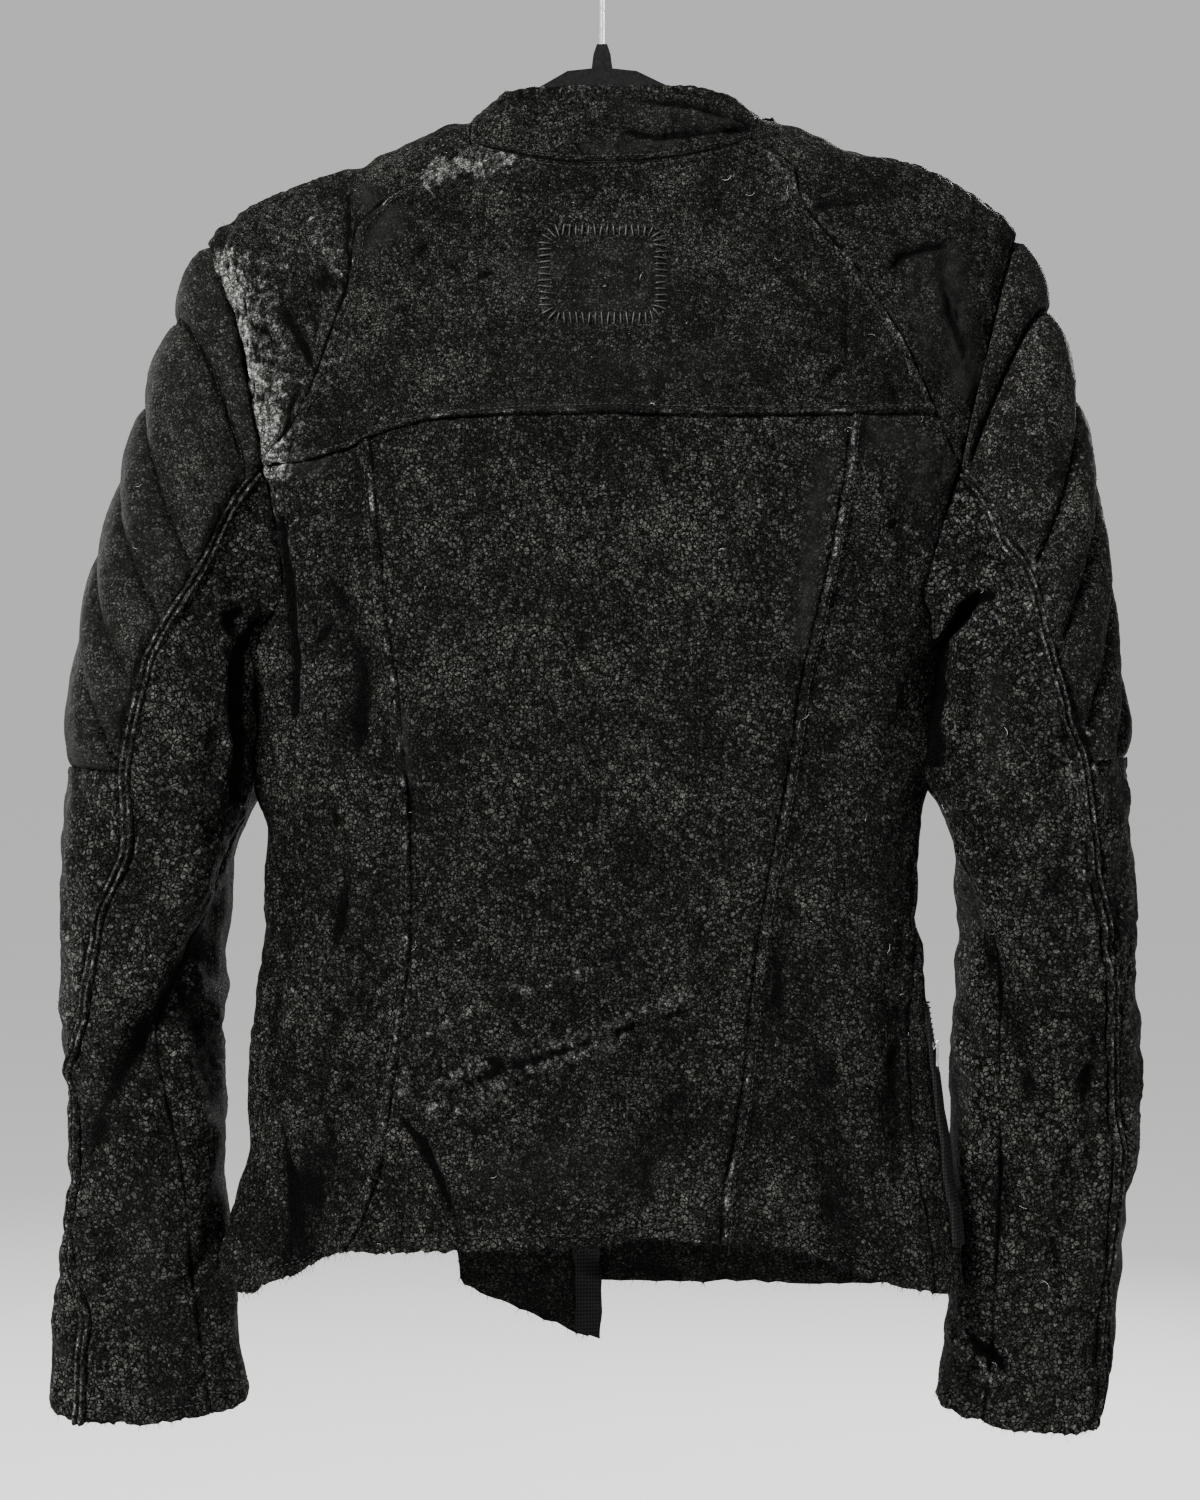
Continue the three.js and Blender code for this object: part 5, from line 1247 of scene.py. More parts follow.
def add_sleeve_piece(side, name, low, high, spans, seams, edges):
    station, angle = sleeve_grid(side, low, high, spans, *seams)
    points = sleeve_point(side, station, angle)
    normals = sleeve_normals(side, station, angle)
    height, wear, smooth, hollow = sleeve_relief(side, points, angle)
    pad = name.endswith("pad")
    if pad:
        far = edge_distances(points)
        rim = smoothstep(0, 9, np.minimum(far["left"], far["right"])) * smoothstep(0, 5, far["top"])
        puffs, groove = quilting(side, station, angle)
        height = height * PAD_SLACK + puffs * rim
        # shade painted into the quilting grooves
        hollow = np.maximum(hollow, groove * rim)
        smooth = np.maximum(smooth, PAD_SMOOTH[side])
    piece = leather_piece(
        name + "_leather", points, normals, (height, wear, smooth, hollow), edges,
        PAD_LEATHER if pad else SLEEVE_LEATHER, wall=PAD_WALL if pad else WALL, ragged=1.4)
    surfaces[name].update(station=station, angle=angle)
    if pad:
        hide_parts(name)
    else:
        declare_cloth(name)


for side in SIDES:
    outer_spans = ["low_to_tip", "tip_to_shoulder", "shoulder_to_low"]
    inner_on_front = lambda station, s=side: INNER_SEAM[s](station) - 2 * PI
    add_sleeve_piece(side, f"sleeve_{side}_pad", 0, PAD_END, outer_spans, (PIPING[side], FRONT_SEAM),
                     edges_are("plain flat piped plain"))
    add_sleeve_piece(side, f"sleeve_{side}_outer", PAD_END, CUFF, outer_spans, (PIPING[side], FRONT_SEAM),
                     edges_are("flat hem piped plain"))
    add_sleeve_piece(side, f"sleeve_{side}_back", 0, CUFF, ["armpit_to_low"],
                     (INNER_SEAM[side], PIPING[side]), edges_are("plain hem plain piped"))
    add_sleeve_piece(side, f"sleeve_{side}_under", 0, CUFF, ["low_to_armpit"], (FRONT_SEAM, inner_on_front),
                     edges_are("plain hem plain plain"))

# ------------------------------------------------------------------------------------------------
# Lines on the leather, and strips, tubes and stitches that follow them
# ------------------------------------------------------------------------------------------------


def at_steps(name, down, over):
    """Points and normals on a torso piece at the part's own step numbers."""
    surface = surfaces[name]
    i = np.interp(down, surface["rows"], np.arange(len(surface["rows"])))
    j = np.interp(over, surface["columns"], np.arange(len(surface["columns"])))
    return [between_cells(surface[key], i, j) for key in ("points", "normals")]


def between_cells(grid, i, j):
    low_i, low_j = np.minimum(i.astype(int), grid.shape[0] - 2), np.minimum(j.astype(int), grid.shape[1] - 2)
    u, v = (i - low_i)[:, None], (j - low_j)[:, None]
    return mix(mix(grid[low_i, low_j], grid[low_i, low_j + 1], v),
               mix(grid[low_i + 1, low_j], grid[low_i + 1, low_j + 1], v), u)


def beside(name, edge, inset, low=0.0):
    """The line at some mm inside a piece's edge, from part of the way along it."""
    points, normals = surfaces[name]["points"], surfaces[name]["normals"]
    far = edge_distances(points)[edge]
    if edge in ("top", "bottom"):
        points, normals, far = points.transpose(1, 0, 2), normals.transpose(1, 0, 2), far.T
    count = points.shape[1]
    lines = range(int(low * (len(points) - 1)), len(points))
    order = slice(None, None, -1) if far[0, 0] > 0 else slice(None)
    index = np.array([np.interp(inset, far[k][order], np.arange(count)[order]) for k in lines])
    cells = np.array(lines, float)
    return between_cells(points, cells, index), between_cells(normals, cells, index)


def spaced(points, normals, pitch):
    """The line again, with its points one pitch apart."""
    reach = lengths_along(points)
    places = np.linspace(0, reach[-1], max(int(reach[-1] / pitch), 2) + 1)
    return read_off(points, reach, places), unit(read_off(normals, reach, places))


def strip(name, points, normals, across, profile, base, material):
    """A closed strip along a line. profile is its upper face as (reach across, height) and base is the
    height of its underside."""
    reach, height = np.array(profile, float).T
    upper = (points[:, None] + across[:, None] * reach[None, :, None]
             + normals[:, None] * height[None, :, None])
    lower = (points[:, None] + across[:, None] * reach[None, :, None] + normals[:, None] * base)
    faces = wall_faces(len(points) - 1, len(reach) - 1)
    flow = np.cross(np.gradient(points, axis=0), across)
    if np.sum(flow * normals) < 0:
        faces = faces[:, ::-1]
    count = len(points) * len(reach)
    piece = mesh_object(name, np.concatenate([upper.reshape(-1, 3), lower.reshape(-1, 3)]), faces, material,
                        # the raised tops of the profile are paler: rubbed wear, and a painted highlight on
                        # the piping's ridges
                        wear=np.concatenate([np.tile(0.55 * smoothstep(1, 2.4, height), len(points)),
                                             np.zeros(count)]),
                        smoothed=np.full(2 * count, 0.15), hollow=np.zeros(2 * count))
    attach(piece, BODY)
    return piece


def tube_mesh(paths, radii, sides):
    """The points and faces of many closed tubes at once. paths is (tubes, points, 3), and radii is
    (tubes, points) in mm."""
    count, length = paths.shape[:2]
    along = unit(np.gradient(paths, axis=1))
    guide = np.where(np.abs(along[..., 2:]) > 0.9, np.array([1.0, 0, 0]), np.array([0, 0, 1.0]))
    one = unit(np.cross(along, guide))
    two = np.cross(along, one)
    angle = np.arange(sides) * 2 * PI / sides
    ring = (one[:, :, None] * np.cos(angle)[:, None] + two[:, :, None] * np.sin(angle)[:, None])
    points = (paths[:, :, None] + ring * radii[:, :, None, None]).reshape(-1, 3)
    i = np.arange(length - 1)[:, None] * sides
    j = np.arange(sides)
    quads = np.stack([i + j, i + (j + 1) % sides, i + sides + (j + 1) % sides, i + sides + j], axis=-1)
    quads = quads.reshape(-1, 4)
    start = (np.arange(count) * length * sides)[:, None, None]
    fan = np.stack([np.zeros(sides - 2, int), np.arange(2, sides), np.arange(1, sides - 1)], axis=1)
    last = (length - 1) * sides
    caps = np.concatenate([fan, fan[:, ::-1] + last])
    return points, [(quads[None] + start).reshape(-1, 4), (caps[None] + start).reshape(-1, 3)]


def add_tubes(name, paths, radii, sides, material):
    points, faces = tube_mesh(np.asarray(paths, float), np.asarray(radii, float), sides)
    piece = mesh_object(name, points, faces, material)
    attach(piece, BODY)
    return piece


# ------------------------------------------------------------------------------------------------
# Piping on the sleeves
# ------------------------------------------------------------------------------------------------

# A folded welt beside the seam on each side of it, with the seam sunk between them.
PIPING_PROFILE = [(-3.6, -0.8), (-3.3, 0.6), (-2.7, 1.8), (-1.8, 2.4), (-0.9, 1.7), (-0.25, 0.3), (0.25, 0.3),
                  (0.9, 1.7), (1.8, 2.4), (2.7, 1.8), (3.3, 0.6), (3.6, -0.8)]
for side in SIDES:
    points, normals = beside(f"sleeve_{side}_back", "right", 0.4, low=0.02)
    points, normals = spaced(points, normals, 1.6)
    along = unit(np.gradient(points, axis=0))
    wobble = ripple(points, 14, 31)[:, None]
    piping = strip(f"sleeve_{side}_piping_welt", points + normals * (1.3 + 0.35 * wobble), normals,
                   unit(np.cross(normals, along)), PIPING_PROFILE, -2.0, LEATHER)
    declare_cloth(f"sleeve_{side}_piping")

# ------------------------------------------------------------------------------------------------
# Zips
# ------------------------------------------------------------------------------------------------

TAPE = 1.2  # the thickness of a zip's tape
# How far the tape reaches inside and beyond the front's edge, how far under the leather it lies, and the
# height below which it has no teeth.
FRONT_TAPE = dict(inside=10, beyond=7, gap=0.5, teeth_end=-764)
POCKET_HALF = 7
POCKET_ROWS = {"left": (18, 23), "right": (16, 21)}  # the steps down a front that its pocket runs between
SUNK = 0.8  # how deep a pocket zip's teeth lie in their tape
LAID_GAP = 0.75  # between a front's leather and the pocket's tape that is laid on it
TOOTH = dict(pitch=3.1, length=3.4, width=1.5, height=1.1)
NECK_STEPS = CUTS["neck_front"]


def tooth_row(name, points, normals, across):
    """Metal teeth one pitch apart, each a block that narrows to a nose across the tape."""
    points, normals = spaced(points, normals, TOOTH["pitch"])
    across = unit(across if across.ndim > 1 else np.tile(across, (len(points), 1)))
    along = np.cross(normals, across)
    half, long, high = TOOTH["width"] / 2, TOOTH["length"], TOOTH["height"]
    shape = [(0, -half, -0.3), (0, half, -0.3), (long, half * 0.5, -0.3), (long, -half * 0.5, -0.3),
             (0.2, -half * 0.8, high), (0.2, half * 0.8, high), (long * 0.9, half * 0.35, high),
             (long * 0.9, -half * 0.35, high)]
    reach, run_on, rise = (np.array(shape)[None, :, k:k + 1] for k in range(3))
    vertices = (points[:, None] + across[:, None] * reach + along[:, None] * run_on
                + normals[:, None] * rise)
    box = np.array([(0, 1, 2, 3), (7, 6, 5, 4), (0, 4, 5, 1), (1, 5, 6, 2), (2, 6, 7, 3), (3, 7, 4, 0)])
    faces = (box[None] + 8 * np.arange(len(points))[:, None, None]).reshape(-1, 4)
    if np.linalg.det(np.stack([across[0], along[0], normals[0]])) > 0:
        faces = faces[:, ::-1]
    piece = mesh_object(name, vertices.reshape(-1, 3), faces, TEETH, smooth=False)
    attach(piece, BODY)


def add_front_tape(side):
    surface = surfaces[f"front_{side}"]
    steps = np.linspace(NECK_STEPS + 0.05, surface["rows"][-1] - 0.05, 190)
    last = np.full(len(steps), surface["columns"][-1])
    points, normals = at_steps(f"front_{side}", steps, last)
    inner, _ = at_steps(f"front_{side}", steps, last - 0.4)
    across = unit(points - inner)
    lift = -(WALL + FRONT_TAPE["gap"])
    profile = [(r, lift) for r in np.linspace(-FRONT_TAPE["inside"], FRONT_TAPE["beyond"], 6)]
    tape = strip(f"front_zip_tape_{side}", points, normals, across, profile, lift - TAPE, TAPE_CLOTH)
    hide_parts(f"zip_tape_{side}")
    row = points + across * (FRONT_TAPE["beyond"] - 1) + normals * lift
    kept = row[:, 2] > FRONT_TAPE["teeth_end"]
    tooth_row(f"front_zip_teeth_{side}", row[kept], normals[kept], across[len(across) // 2])


def add_pocket_zip(side, top_row, end_row):
    steps = np.linspace(top_row, end_row, 70)
    name = f"front_{side}"
    points, normals = at_steps(name, steps, np.ones(len(steps)))
    across = unit(np.cross(normals, unit(np.gradient(points, axis=0))))
    low, high = LAID_GAP - 0.7, LAID_GAP + TAPE
    profile = [(-POCKET_HALF, low + 0.4), (-POCKET_HALF + 0.8, high), (-2.6, high), (0, high), (2.6, high),
               (POCKET_HALF - 0.8, high), (POCKET_HALF, low + 0.4)]
    tape = strip(f"pocket_zip_tape_{side}", points, normals, across, profile, low, TAPE_CLOTH)
    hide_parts(f"pocket_zip_{side}")
    for way in (-1, 1):
        tooth_row(f"pocket_zip_teeth_{side}_{'ab'[way > 0]}",
                  points + normals * (high - SUNK) + across * 0.2 * way
                  + np.array([0, 0, TOOTH["pitch"] / 2]) * (way > 0),
                  normals, across[len(across) // 2] * way)


for side in SIDES:
    add_front_tape(side)
for side, (top_row, end_row) in POCKET_ROWS.items():
    add_pocket_zip(side, top_row, end_row)

SLIDER = dict(width=8, depth=4.2, height=11)
PULL = dict(width=6, depth=1.4, height=16, gap=1.1, overhang=1.2)
# Each zip's moving body, its slider's seat in mm, and the (x, y) direction the slider faces.
SLIDERS = {
    "front_zip": ("front_pull", (-37, 51.8, -783), (0, 1)),
    "pocket_left": ("left_pocket_pull", (-195.76, 20.56, -656.58), (-0.69784, 0.71625)),
    "pocket_right": ("right_pocket_pull", (187.10, -7.45, -655.61), (0.98115, -0.19327)),
}


def turned(seat, facing, shape):
    """Points given as (across, outward, up) from a slider's seat, in the frame's axes."""
    x, y = facing
    axes = np.array([(y, -x, 0), (x, y, 0), (0, 0, 1)])
    return np.asarray(shape, float) @ axes + np.array(seat)


def plate(outline, low, high, hole=None):
    """A plate with an optional hole. outline and hole are (across, up) points, as many in each."""
    outer = np.array(outline, float)
    count = len(outer)
    if hole is None:
        points = [(x, y, z) for y in (high, low) for x, z in outer]
        side = np.arange(count)
        after = (side + 1) % count
        middle = outer.mean(axis=0)
        points += [(middle[0], high, middle[1]), (middle[0], low, middle[1])]
        faces = [np.stack([side, side + count, after + count, after], axis=1),
                 np.concatenate([np.stack([side, after, np.full(count, 2 * count)], axis=1),
                                 np.stack([after + count, side + count, np.full(count, 2 * count + 1)],
                                          axis=1)])]
        return np.array(points), faces
    inner = np.array(hole, float)
    rings = [(outer, high), (outer, low), (inner, low), (inner, high)]
    points = [(x, y, z) for ring, y in rings for x, z in ring]
    side = np.arange(count)
    after = (side + 1) % count
    quads = [np.stack([side + a * count, side + b * count, after + b * count, after + a * count], axis=1)
             for a, b in ((0, 1), (1, 2), (2, 3), (3, 0))]
    return np.array(points), [np.concatenate(quads)]


CORNER_CUTS = 2
CORNER_CUT = 0.22  # how much of each side a corner loses at each cut


def rounded(points, count=32):
    """An outline drawn through corner points and rounded at them."""
    ring = np.array(points, float)
    for _ in range(CORNER_CUTS):
        after = np.roll(ring, -1, axis=0)
        ring = np.stack([mix(ring, after, CORNER_CUT), mix(ring, after, 1 - CORNER_CUT)], axis=1)
        ring = ring.reshape(-1, 2)
    loop = np.vstack([ring, ring[:1]])
    reach = lengths_along(loop)
    return read_off(loop, reach, np.arange(count) * reach[-1] / count)


def joined(parts):
    """Several (points, faces) as one, with the faces sorted by how many corners they have."""
    points, groups, begun = [], {}, 0
    for some, faces in parts:
        for group in faces:
            groups.setdefault(np.asarray(group).shape[1], []).append(np.asarray(group) + begun)
        points.append(some)
        begun += len(some)
    return np.concatenate(points), [np.concatenate(group) for group in groups.values()]


def add_metal(name, parts, seat, facing, body, bevel):
    points, faces = joined(parts)
    piece = mesh_object(name, turned(seat, facing, points), faces, NICKEL)
    piece.data.update()
    if bevel:
        soften = piece.modifiers.new("edge", "BEVEL")
        soften.width, soften.segments, soften.limit_method = bevel * MM, 2, "ANGLE"
        piece.modifiers.new("shade", "WEIGHTED_NORMAL")
    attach(piece, body)
    return piece


def rod(path, radius, sides=10):
    path = np.array(path, float)[None]
    return tube_mesh(path, np.full(path.shape[:2], float(radius)), sides)


def add_slider(name, body, seat, facing):
    half, tall, deep = SLIDER["width"] / 2, SLIDER["height"] / 2, SLIDER["depth"]
    shape = rounded([(-half, tall * 0.2), (-half, tall * 0.75), (-half * 0.55, tall), (half * 0.55, tall),
                     (half, tall * 0.75), (half, tall * 0.2), (half * 0.62, -tall), (-half * 0.62, -tall)])
    post = rounded([(-1.1, 0.4), (-1.1, 4.6), (1.1, 4.6), (1.1, 0.4)])
    hinge = deep + PULL["gap"] + PULL["depth"] / 2, tall
    ears = [rod([(x, deep - 1.2, tall - 4.2), (x, deep + 0.5, tall - 3.0), (x, hinge[0] - 0.1, tall - 0.9),
                 (x, hinge[0], tall)], 0.42) for x in (-3.4, 3.4)]
    pin = rod([(-3.7, *hinge), (3.7, *hinge)], 0.45)
    body_parts = [plate(shape, 0, 1.1), plate(shape, deep - 1.2, deep - 0.1), plate(post, 1.0, deep - 1.1)]
    slider = add_metal(f"{name}_slider_metal", [*body_parts, *ears, pin], seat, facing, BODY, 0.18)
    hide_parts(f"{name}_slider")
    top, bottom = hinge[1], hinge[1] + PULL["overhang"] - PULL["height"]
    half = PULL["width"] / 2
    outline = rounded([(-2.4, top - 1.2), (-2.0, top - 3.6), (-half, bottom + 7), (-half, bottom + 1.6),
                       (-half * 0.6, bottom), (half * 0.6, bottom), (half, bottom + 1.6), (half, bottom + 7),
                       (2.0, top - 3.6), (2.4, top - 1.2)], count=40)
    slot = rounded([(-0.9, bottom + 6.4), (-1.4, bottom + 4), (-1.0, bottom + 2.2), (1.0, bottom + 2.2),
                    (1.4, bottom + 4), (0.9, bottom + 6.4)], count=40)
    outline, slot = (np.roll(ring, -np.argmin(np.arctan2(*(ring - ring.mean(axis=0)).T)), axis=0)
                     for ring in (outline, slot))
    eye = rod([(-2.5, *hinge), (2.5, *hinge)], 0.95, 14)
    low = deep + PULL["gap"] + 0.2
    tab = plate(outline, low, low + 1.0, slot)
    pull = add_metal(f"{name}_pull_metal", [tab, eye], seat, facing, body, 0.15)
    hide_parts(f"{name}_pull")


for name, (body, seat, facing) in SLIDERS.items():
    add_slider(name, body, seat, facing)

# ------------------------------------------------------------------------------------------------
# Hanger
# ------------------------------------------------------------------------------------------------

WIRE = 1.2  # the radius of the hook's wire
HOOK_RADIUS = 22
NECK_TOP = -74  # where the wire leaves the plastic
HOOK_BEND = -48  # where it leaves its straight run


def add_hook():
    middle = -WIRE - HOOK_RADIUS + 2 * WIRE
    turn = np.linspace(-PI / 4, PI * 1.1, 60)
    circle = np.stack([HOOK_RADIUS * np.cos(turn), 0 * turn, middle + HOOK_RADIUS * np.sin(turn)], axis=-1)
    t = np.linspace(0, 1, 16)[1:-1, None]
    bezier = [np.array(p, float) for p in ((0, 0, HOOK_BEND), (0, 0, HOOK_BEND + 5), (10, 0, HOOK_BEND + 6),
                                           tuple(circle[0]))]
    bend = ((1 - t) ** 3 * bezier[0] + 3 * (1 - t) ** 2 * t * bezier[1] + 3 * (1 - t) * t * t * bezier[2]
            + t ** 3 * bezier[3])
    straight = np.stack([np.zeros(12), np.zeros(12), np.linspace(NECK_TOP - 3, HOOK_BEND, 12)], axis=-1)
    path = np.concatenate([straight, bend, circle])
    radius = np.full(len(path), WIRE)
    radius[-3:] = WIRE * np.array([0.98, 0.85, 0.5])
    hook = add_tubes("hook_wire", path[None], radius[None], 16, STEEL)
    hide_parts("hanger_hook")


add_hook()
hanger = bpy.data.objects["hanger_body"]
hanger.data.materials.clear()
hanger.data.materials.append(FLOCK)

# ------------------------------------------------------------------------------------------------
# The scrap at the collar's end
# ------------------------------------------------------------------------------------------------


def add_collar_tip():
    """A torn tongue of leather, from inside the collar's top edge out to its curled tip."""
    rows, columns = 26, 14
    t, u = np.linspace(0, 1, rows)[:, None], np.linspace(-1, 1, columns)[None, :]
    middle = [through([(0, a), (0.5, b), (1, c)])(t) for a, b, c in
              ((89.0, 95.5, 101.0), (0.6, -0.6, -1.8), (-119.4, -117.9, -118.4))]
    half = through([(0, 2.6), (0.35, 1.6), (0.7, 2.2), (1, 2.9)])(t)
    points = np.stack([middle[0] + 0 * u - 0.6 * u * half * t, middle[1] + 0.8 * np.cos(PI * u) * t,
                       middle[2] + u * half], axis=-1)
    normals = -np.abs(grid_normals(points)) * np.array([0, 1, 0]) + np.array([0, -1e-3, 0])
    height = 0.35 * ripple(points, 5, 41)
    relief = height, 0.42 + 0 * height, 0.15 + 0 * height, 0 * height
    edges = edges_are("plain cut cut cut")
    tip = leather_piece("collar_tip_leather", points, unit(normals), relief, edges, LEATHER, wall=TIP_WALL,
                        ragged=0.7)
    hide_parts("collar_tip")


add_collar_tip()

# ------------------------------------------------------------------------------------------------
# Stitches
# ------------------------------------------------------------------------------------------------

# bulge is how far a stitch arches for each mm of its radius, and lost is the share that has worn away.
STITCH = dict(pitch=3.5, length=2.3, radius=0.3, bulge=0.9, lost=0.06)
SPINDLE = np.array([0.4, 1.0, 1.0, 0.4])


def add_stitches(name, lines, pitch=STITCH["pitch"], radius=STITCH["radius"]):
    """A row of raised stitches along each (points, normals) line, all in one piece."""
    paths = []
    for points, normals in lines:
        points, normals = spaced(points, normals, pitch)
        along = unit(np.gradient(points, axis=0))
        t = np.linspace(-0.5, 0.5, len(SPINDLE))
        arch = radius * STITCH["bulge"] * (1 - 4 * t * t)
        paths.append(points[1:-1, None] + along[1:-1, None] * (t * STITCH["length"])[None, :, None]
                     + normals[1:-1, None] * arch[None, :, None])
    paths = np.concatenate(paths)
    paths = paths[rng.random(len(paths)) > STITCH["lost"]]
    piece = add_tubes(name, paths, np.broadcast_to(SPINDLE * radius, paths.shape[:2]), 4, THREAD)


HEMS = ["back_centre", "back_side_left", "back_side_right", "front_left", "front_right"]
CUFFS = [f"sleeve_{side}_{part}" for side in SIDES for part in ("outer", "back", "under")]
FRONTS = ("front_left", "front_right")
BELOW_NECK = 0.16  # the share of a front's edge that the neck takes

add_stitches("yoke_stitches", [beside("back_yoke", edge, STITCH_ROW) for edge in ("bottom", "left", "right")]
             + [beside("back_yoke", "top", 3.2)])
add_stitches("side_seam_stitches", [beside("back_side_left", "right", STITCH_ROW),
                                    beside("back_side_right", "left", STITCH_ROW)])
add_stitches("hem_stitches", [beside(name, "bottom", HEM) for name in HEMS if name != "front_left"])
add_stitches("front_stitches", [beside(name, "right", HEM, low=BELOW_NECK) for name in FRONTS]
             + [beside(name, "top", STITCH_ROW) for name in FRONTS])
add_stitches("cuff_stitches", [beside(name, "bottom", HEM) for name in CUFFS])
add_stitches("collar_stitches", [beside("collar", "bottom", 3.0)])


def quilt_rows(side):
    """Each quilting line over the pad, from the piping round to the front seam."""
    pad = surfaces[f"sleeve_{side}_pad"]
    rows = []
    for first, slope in quilt_lines(side):
        points, normals = [], []
        angles = pad["angle"]
        for j in range(0, angles.shape[1], 2):
            want = first + slope * np.abs(angles[:, j])
            gap = pad["station"][:, j] - want
            if gap[0] < -0.1 and gap[-1] > 0.1:
                i = np.argmin(np.abs(gap))
                points.append(pad["points"][i, j])
                normals.append(pad["normals"][i, j])
        if len(points) > 8:
            rows.append((np.array(points), np.array(normals)))
    return rows


add_stitches("quilting_stitches", quilt_rows("left") + quilt_rows("right"), pitch=3.0, radius=0.28)

# ------------------------------------------------------------------------------------------------
# The whip-stitched square on the yoke
# ------------------------------------------------------------------------------------------------

SQUARE = [(-32, -190), (33, -190), (33, -240), (-32, -240)]
SQUARE_ROUNDING = 9
WHIP = dict(pitch=3.5, length=8, radius=0.5)


def drop_on(name, x, z):
    """The points and normals of a back piece at each (x, z)."""
    surface = surfaces[name]
    grid, normals = surface["points"].reshape(-1, 3), surface["normals"].reshape(-1, 3)
    points, facing = [], []
    for a, b in zip(x, z):
        far = (grid[:, 0] - a) ** 2 + (grid[:, 2] - b) ** 2
        near = np.argpartition(far, 4)[:4]
        share = 1 / (far[near] + 0.05)
        share /= share.sum()
        points.append((a, share @ grid[near, 1], b))
        facing.append(share @ normals[near])
    return np.array(points), unit(np.array(facing))


def rounded_square(corners, radius, pitch):
    """Points one pitch apart round the square, and the direction across its border at each."""
    (left, top), (right, _), (_, bottom) = corners[0], corners[1], corners[2]
    path = []
    for x, z, start in ((right - radius, top - radius, 90), (right - radius, bottom + radius, 0),
                        (left + radius, bottom + radius, -90), (left + radius, top - radius, -180)):
        for turn in np.radians(np.linspace(start, start - 90, 9)):
            path.append((x + radius * math.cos(turn), z + radius * math.sin(turn)))
    path = np.array(path + path[:1])
    reach = lengths_along(path)
    places = np.arange(int(reach[-1] / pitch)) * reach[-1] / int(reach[-1] / pitch)
    spots = read_off(path, reach, places)
    along = unit(read_off(path, reach, (places + 1) % reach[-1]) - spots)
    return spots, np.stack([along[:, 1], -along[:, 0]], axis=-1)


def add_whip_stitches():
    spots, across = rounded_square(SQUARE, SQUARE_ROUNDING, WHIP["pitch"])
    t = np.linspace(-0.5, 0.5, 7)
    lean = rng.uniform(-0.16, 0.16, len(spots))
    long = WHIP["length"] * rng.uniform(0.88, 1.1, len(spots))
    turned_across = (across * np.cos(lean)[:, None]
                     + across[:, ::-1] * np.array([-1, 1]) * np.sin(lean)[:, None])
    flat = spots[:, None] + turned_across[:, None] * (t[None, :, None] * long[:, None, None])
    points, normals = drop_on("back_yoke", flat[..., 0].ravel(), flat[..., 1].ravel())
    arch = np.tile(0.9 * (1 - (2 * t) ** 4) - 0.35, len(spots))
    paths = (points + normals * arch[:, None]).reshape(len(spots), len(t), 3)
    radii = np.broadcast_to(WHIP["radius"] * np.array([0.55, 0.9, 1, 1, 1, 0.9, 0.55]), paths.shape[:2])
    stitches = add_tubes("whip_stitches", paths, radii, 8, THREAD)


add_whip_stitches()

# ------------------------------------------------------------------------------------------------
# Frayed fibres, and lint
# ------------------------------------------------------------------------------------------------

LEATHER_PIECES = [*TORSO_PIECES, "collar", *(f"sleeve_{side}_{part}" for side in SIDES
                                             for part in ("pad", "outer", "back", "under"))]


def wisps(roots, ways, lengths, radius, bends):
    """Paths of thin hairs that leave their roots along ways and curl."""
    t = np.linspace(0, 1, 4)
    curl = unit(rng.normal(size=(len(roots), 3))) * bends[:, None]
    paths = (roots[:, None] + ways[:, None] * (t[None, :, None] * lengths[:, None, None])
             + curl[:, None] * ((t * t)[None, :, None] * lengths[:, None, None])
             - np.array([0, 0, 1]) * (t * t)[None, :, None] * lengths[:, None, None] * 0.25)
    taper = np.array([1, 0.8, 0.5, 0.15])
    return paths, radius[:, None] * taper[None]


def fray_along(name, edge, count, longest):
    """Hairs at random places along a piece's edge."""
    points, normals = beside(name, edge, 0.3)
    inside, _ = beside(name, edge, 3.0)
    pick = rng.integers(1, len(points) - 1, count)
    roots = points[pick] - normals[pick] * rng.uniform(0, WALL, count)[:, None]
    ways = unit(unit(points[pick] - inside[pick]) + 0.7 * rng.normal(size=(count, 3)))
    lengths = 0.8 + longest * rng.random(count) ** 3
    return wisps(roots, ways, lengths, rng.uniform(0.07, 0.2, count), rng.uniform(0.1, 0.7, count))


def scattered(name, count):
    """Random points on a piece's outer face, and the normals there."""
    points, normals = (surfaces[name][key].reshape(-1, 3) for key in ("points", "normals"))
    pick = rng.integers(0, len(points), count)
    return points[pick], normals[pick]


def nap_on(name, count, longest):
    """Hairs raised off a piece's whole outer face, most of them short."""
    points, normals = scattered(name, count)
    ways = unit(0.5 * normals + 0.8 * rng.normal(size=(count, 3)) - np.array([0, 0, 0.3]))
    lengths = 0.6 + longest * rng.random(count) ** 4
    return wisps(points - normals * 0.1, ways, lengths, rng.uniform(0.06, 0.2, count),
                 rng.uniform(0.2, 0.9, count))


def add_hairs(name, bundles, material):
    paths, radii = [np.concatenate(part) for part in zip(*bundles)]
    piece = add_tubes(name, paths, radii, 3, material)


SEAM_EDGES = [(f"sleeve_{side}_back", edge) for side in SIDES for edge in ("left", "right")]
SEAM_EDGES += [("back_side_left", "left"), ("back_side_right", "right"), ("back_yoke", "bottom"),
               ("back_yoke", "left"), ("back_yoke", "right"), ("collar", "top")]
# Each with how many hairs a piece has there, and about how long the longest is.
add_hairs("hem_fray", [fray_along(name, "bottom", 260, 5.0) for name in HEMS]
          + [fray_along(name, "bottom", 90, 4.0) for name in CUFFS]
          + [fray_along(*edge, 120, 3.0) for edge in SEAM_EDGES], FIBRE)
add_hairs("raised_nap", [nap_on(name, 220 if name.startswith("sleeve") else 260, 3.2)
                         for name in LEATHER_PIECES], FIBRE)


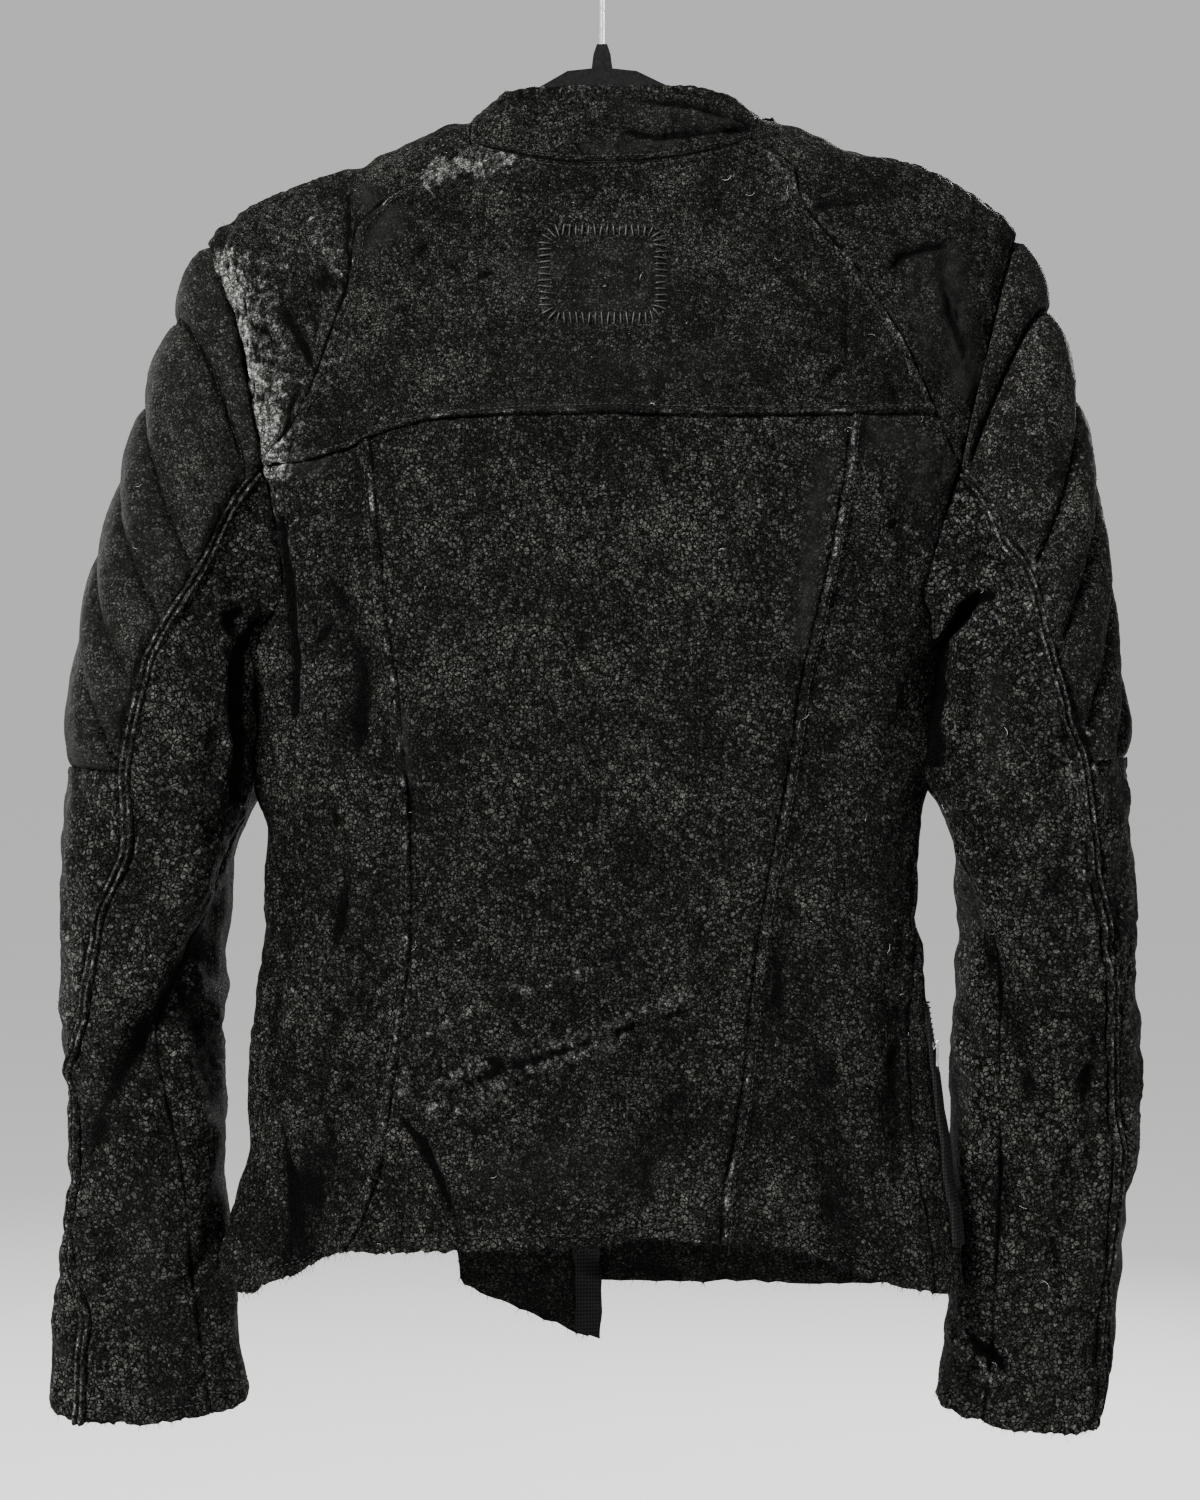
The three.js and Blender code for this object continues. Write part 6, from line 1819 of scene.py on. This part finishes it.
def lint_on(name, count, shortest, longest):
    """Short pale hairs that lie on a piece's outer face."""
    points, normals = scattered(name, count)
    flat = rng.normal(size=(count, 3))
    flat = unit(flat - normals * np.sum(flat * normals, axis=1)[:, None])
    t = np.linspace(-0.5, 0.5, 5)
    side = np.cross(normals, flat)
    long = rng.uniform(shortest, longest, count)
    bow = rng.uniform(-0.3, 0.3, count)
    paths = (points[:, None] + normals[:, None] * 0.45
             + flat[:, None] * (t[None, :, None] * long[:, None, None])
             + side[:, None] * ((1 - 4 * t * t)[None, :, None] * (bow * long)[:, None, None]))
    thin = rng.uniform(0.05, 0.1, count)
    return paths, thin[:, None] * np.array([0.4, 1, 1, 1, 0.4])[None]


LONG_LINT = ("back_centre", "back_yoke", "back_side_right", "sleeve_left_pad", "sleeve_right_back")
SHORT_LINT = ("back_centre", "back_yoke", "back_side_left", "back_side_right", "sleeve_left_pad",
              "shoulder_left")
add_hairs("lint_hairs", [lint_on(name, 9, 2.0, 7.0) for name in LONG_LINT]
          + [lint_on(name, 26, 0.4, 0.9) for name in SHORT_LINT], LINT)

# ------------------------------------------------------------------------------------------------
# Floor, lights and camera
# ------------------------------------------------------------------------------------------------

FLOOR = -1.3  # metres, a little below the cuffs
FLOOR_REACH = 40
FLOOR_GLOW = 0.22  # makes up for the light that falls short of its far end
AIR, AIR_GLOW = (0.985, 0.99, 1.0, 1), 0.6
JACKET_MIDDLE = (0, 0, -0.48)
# name, place and size in metres, and power in watts
LIGHTS = [("key", (-1.4, -1.6, 1.3), 0.7, 265), ("fill", (2.4, -1.8, 0.3), 1.4, 34),
          ("back_key", (0.9, 2.3, 0.5), 0.9, 80), ("back_fill", (-2.2, 2.0, 0.2), 1.4, 40)]
# The photograph's viewpoint: straight behind the jacket, level with its middle.
CAMERA = (-0.00116, -1.7, -0.4819)
LENS, SENSOR = 70.51, 36


def add_floor():
    corners = [(x, y, FLOOR) for x, y in ((-1, -1), (1, -1), (1, 1), (-1, 1))]
    points = np.array(corners) * np.array([FLOOR_REACH, FLOOR_REACH, 1]) / MM
    floor = mesh_object("floor", points, np.array([(0, 1, 2, 3)]), PALE_FLOOR, smooth=False)


def add_light(name, place, size, power):
    """A round soft light that faces the jacket's middle."""
    lamp = bpy.data.lights.new(name, "AREA")
    lamp.shape, lamp.size, lamp.energy = "DISK", size, power
    light = bpy.data.objects.new(name, lamp)
    bpy.context.scene.collection.objects.link(light)
    light.location = place
    light.rotation_euler = (Vector(JACKET_MIDDLE) - Vector(place)).to_track_quat("-Z", "Y").to_euler()


PALE_FLOOR = plain_material("pale_floor", grey(0.62, 0.004), 0.9, grain=60, depth=0.2, spread=0.02,
                            specular=0.2)
floor_glow = PALE_FLOOR.node_tree.nodes["Principled BSDF"].inputs
floor_glow["Emission Color"].default_value = grey(1.0)
floor_glow["Emission Strength"].default_value = FLOOR_GLOW
add_floor()
for lamp in LIGHTS:
    add_light(*lamp)

studio = bpy.data.worlds.new("studio")
studio.use_nodes = True
background = studio.node_tree.nodes["Background"].inputs
background["Color"].default_value, background["Strength"].default_value = AIR, AIR_GLOW
bpy.context.scene.world = studio

camera = bpy.data.objects.new("camera", bpy.data.cameras.new("camera"))
camera.data.lens, camera.data.sensor_width = LENS, SENSOR
camera.location = CAMERA
camera.rotation_euler = (PI / 2, 0, 0)
bpy.context.scene.collection.objects.link(camera)
bpy.context.scene.camera = camera
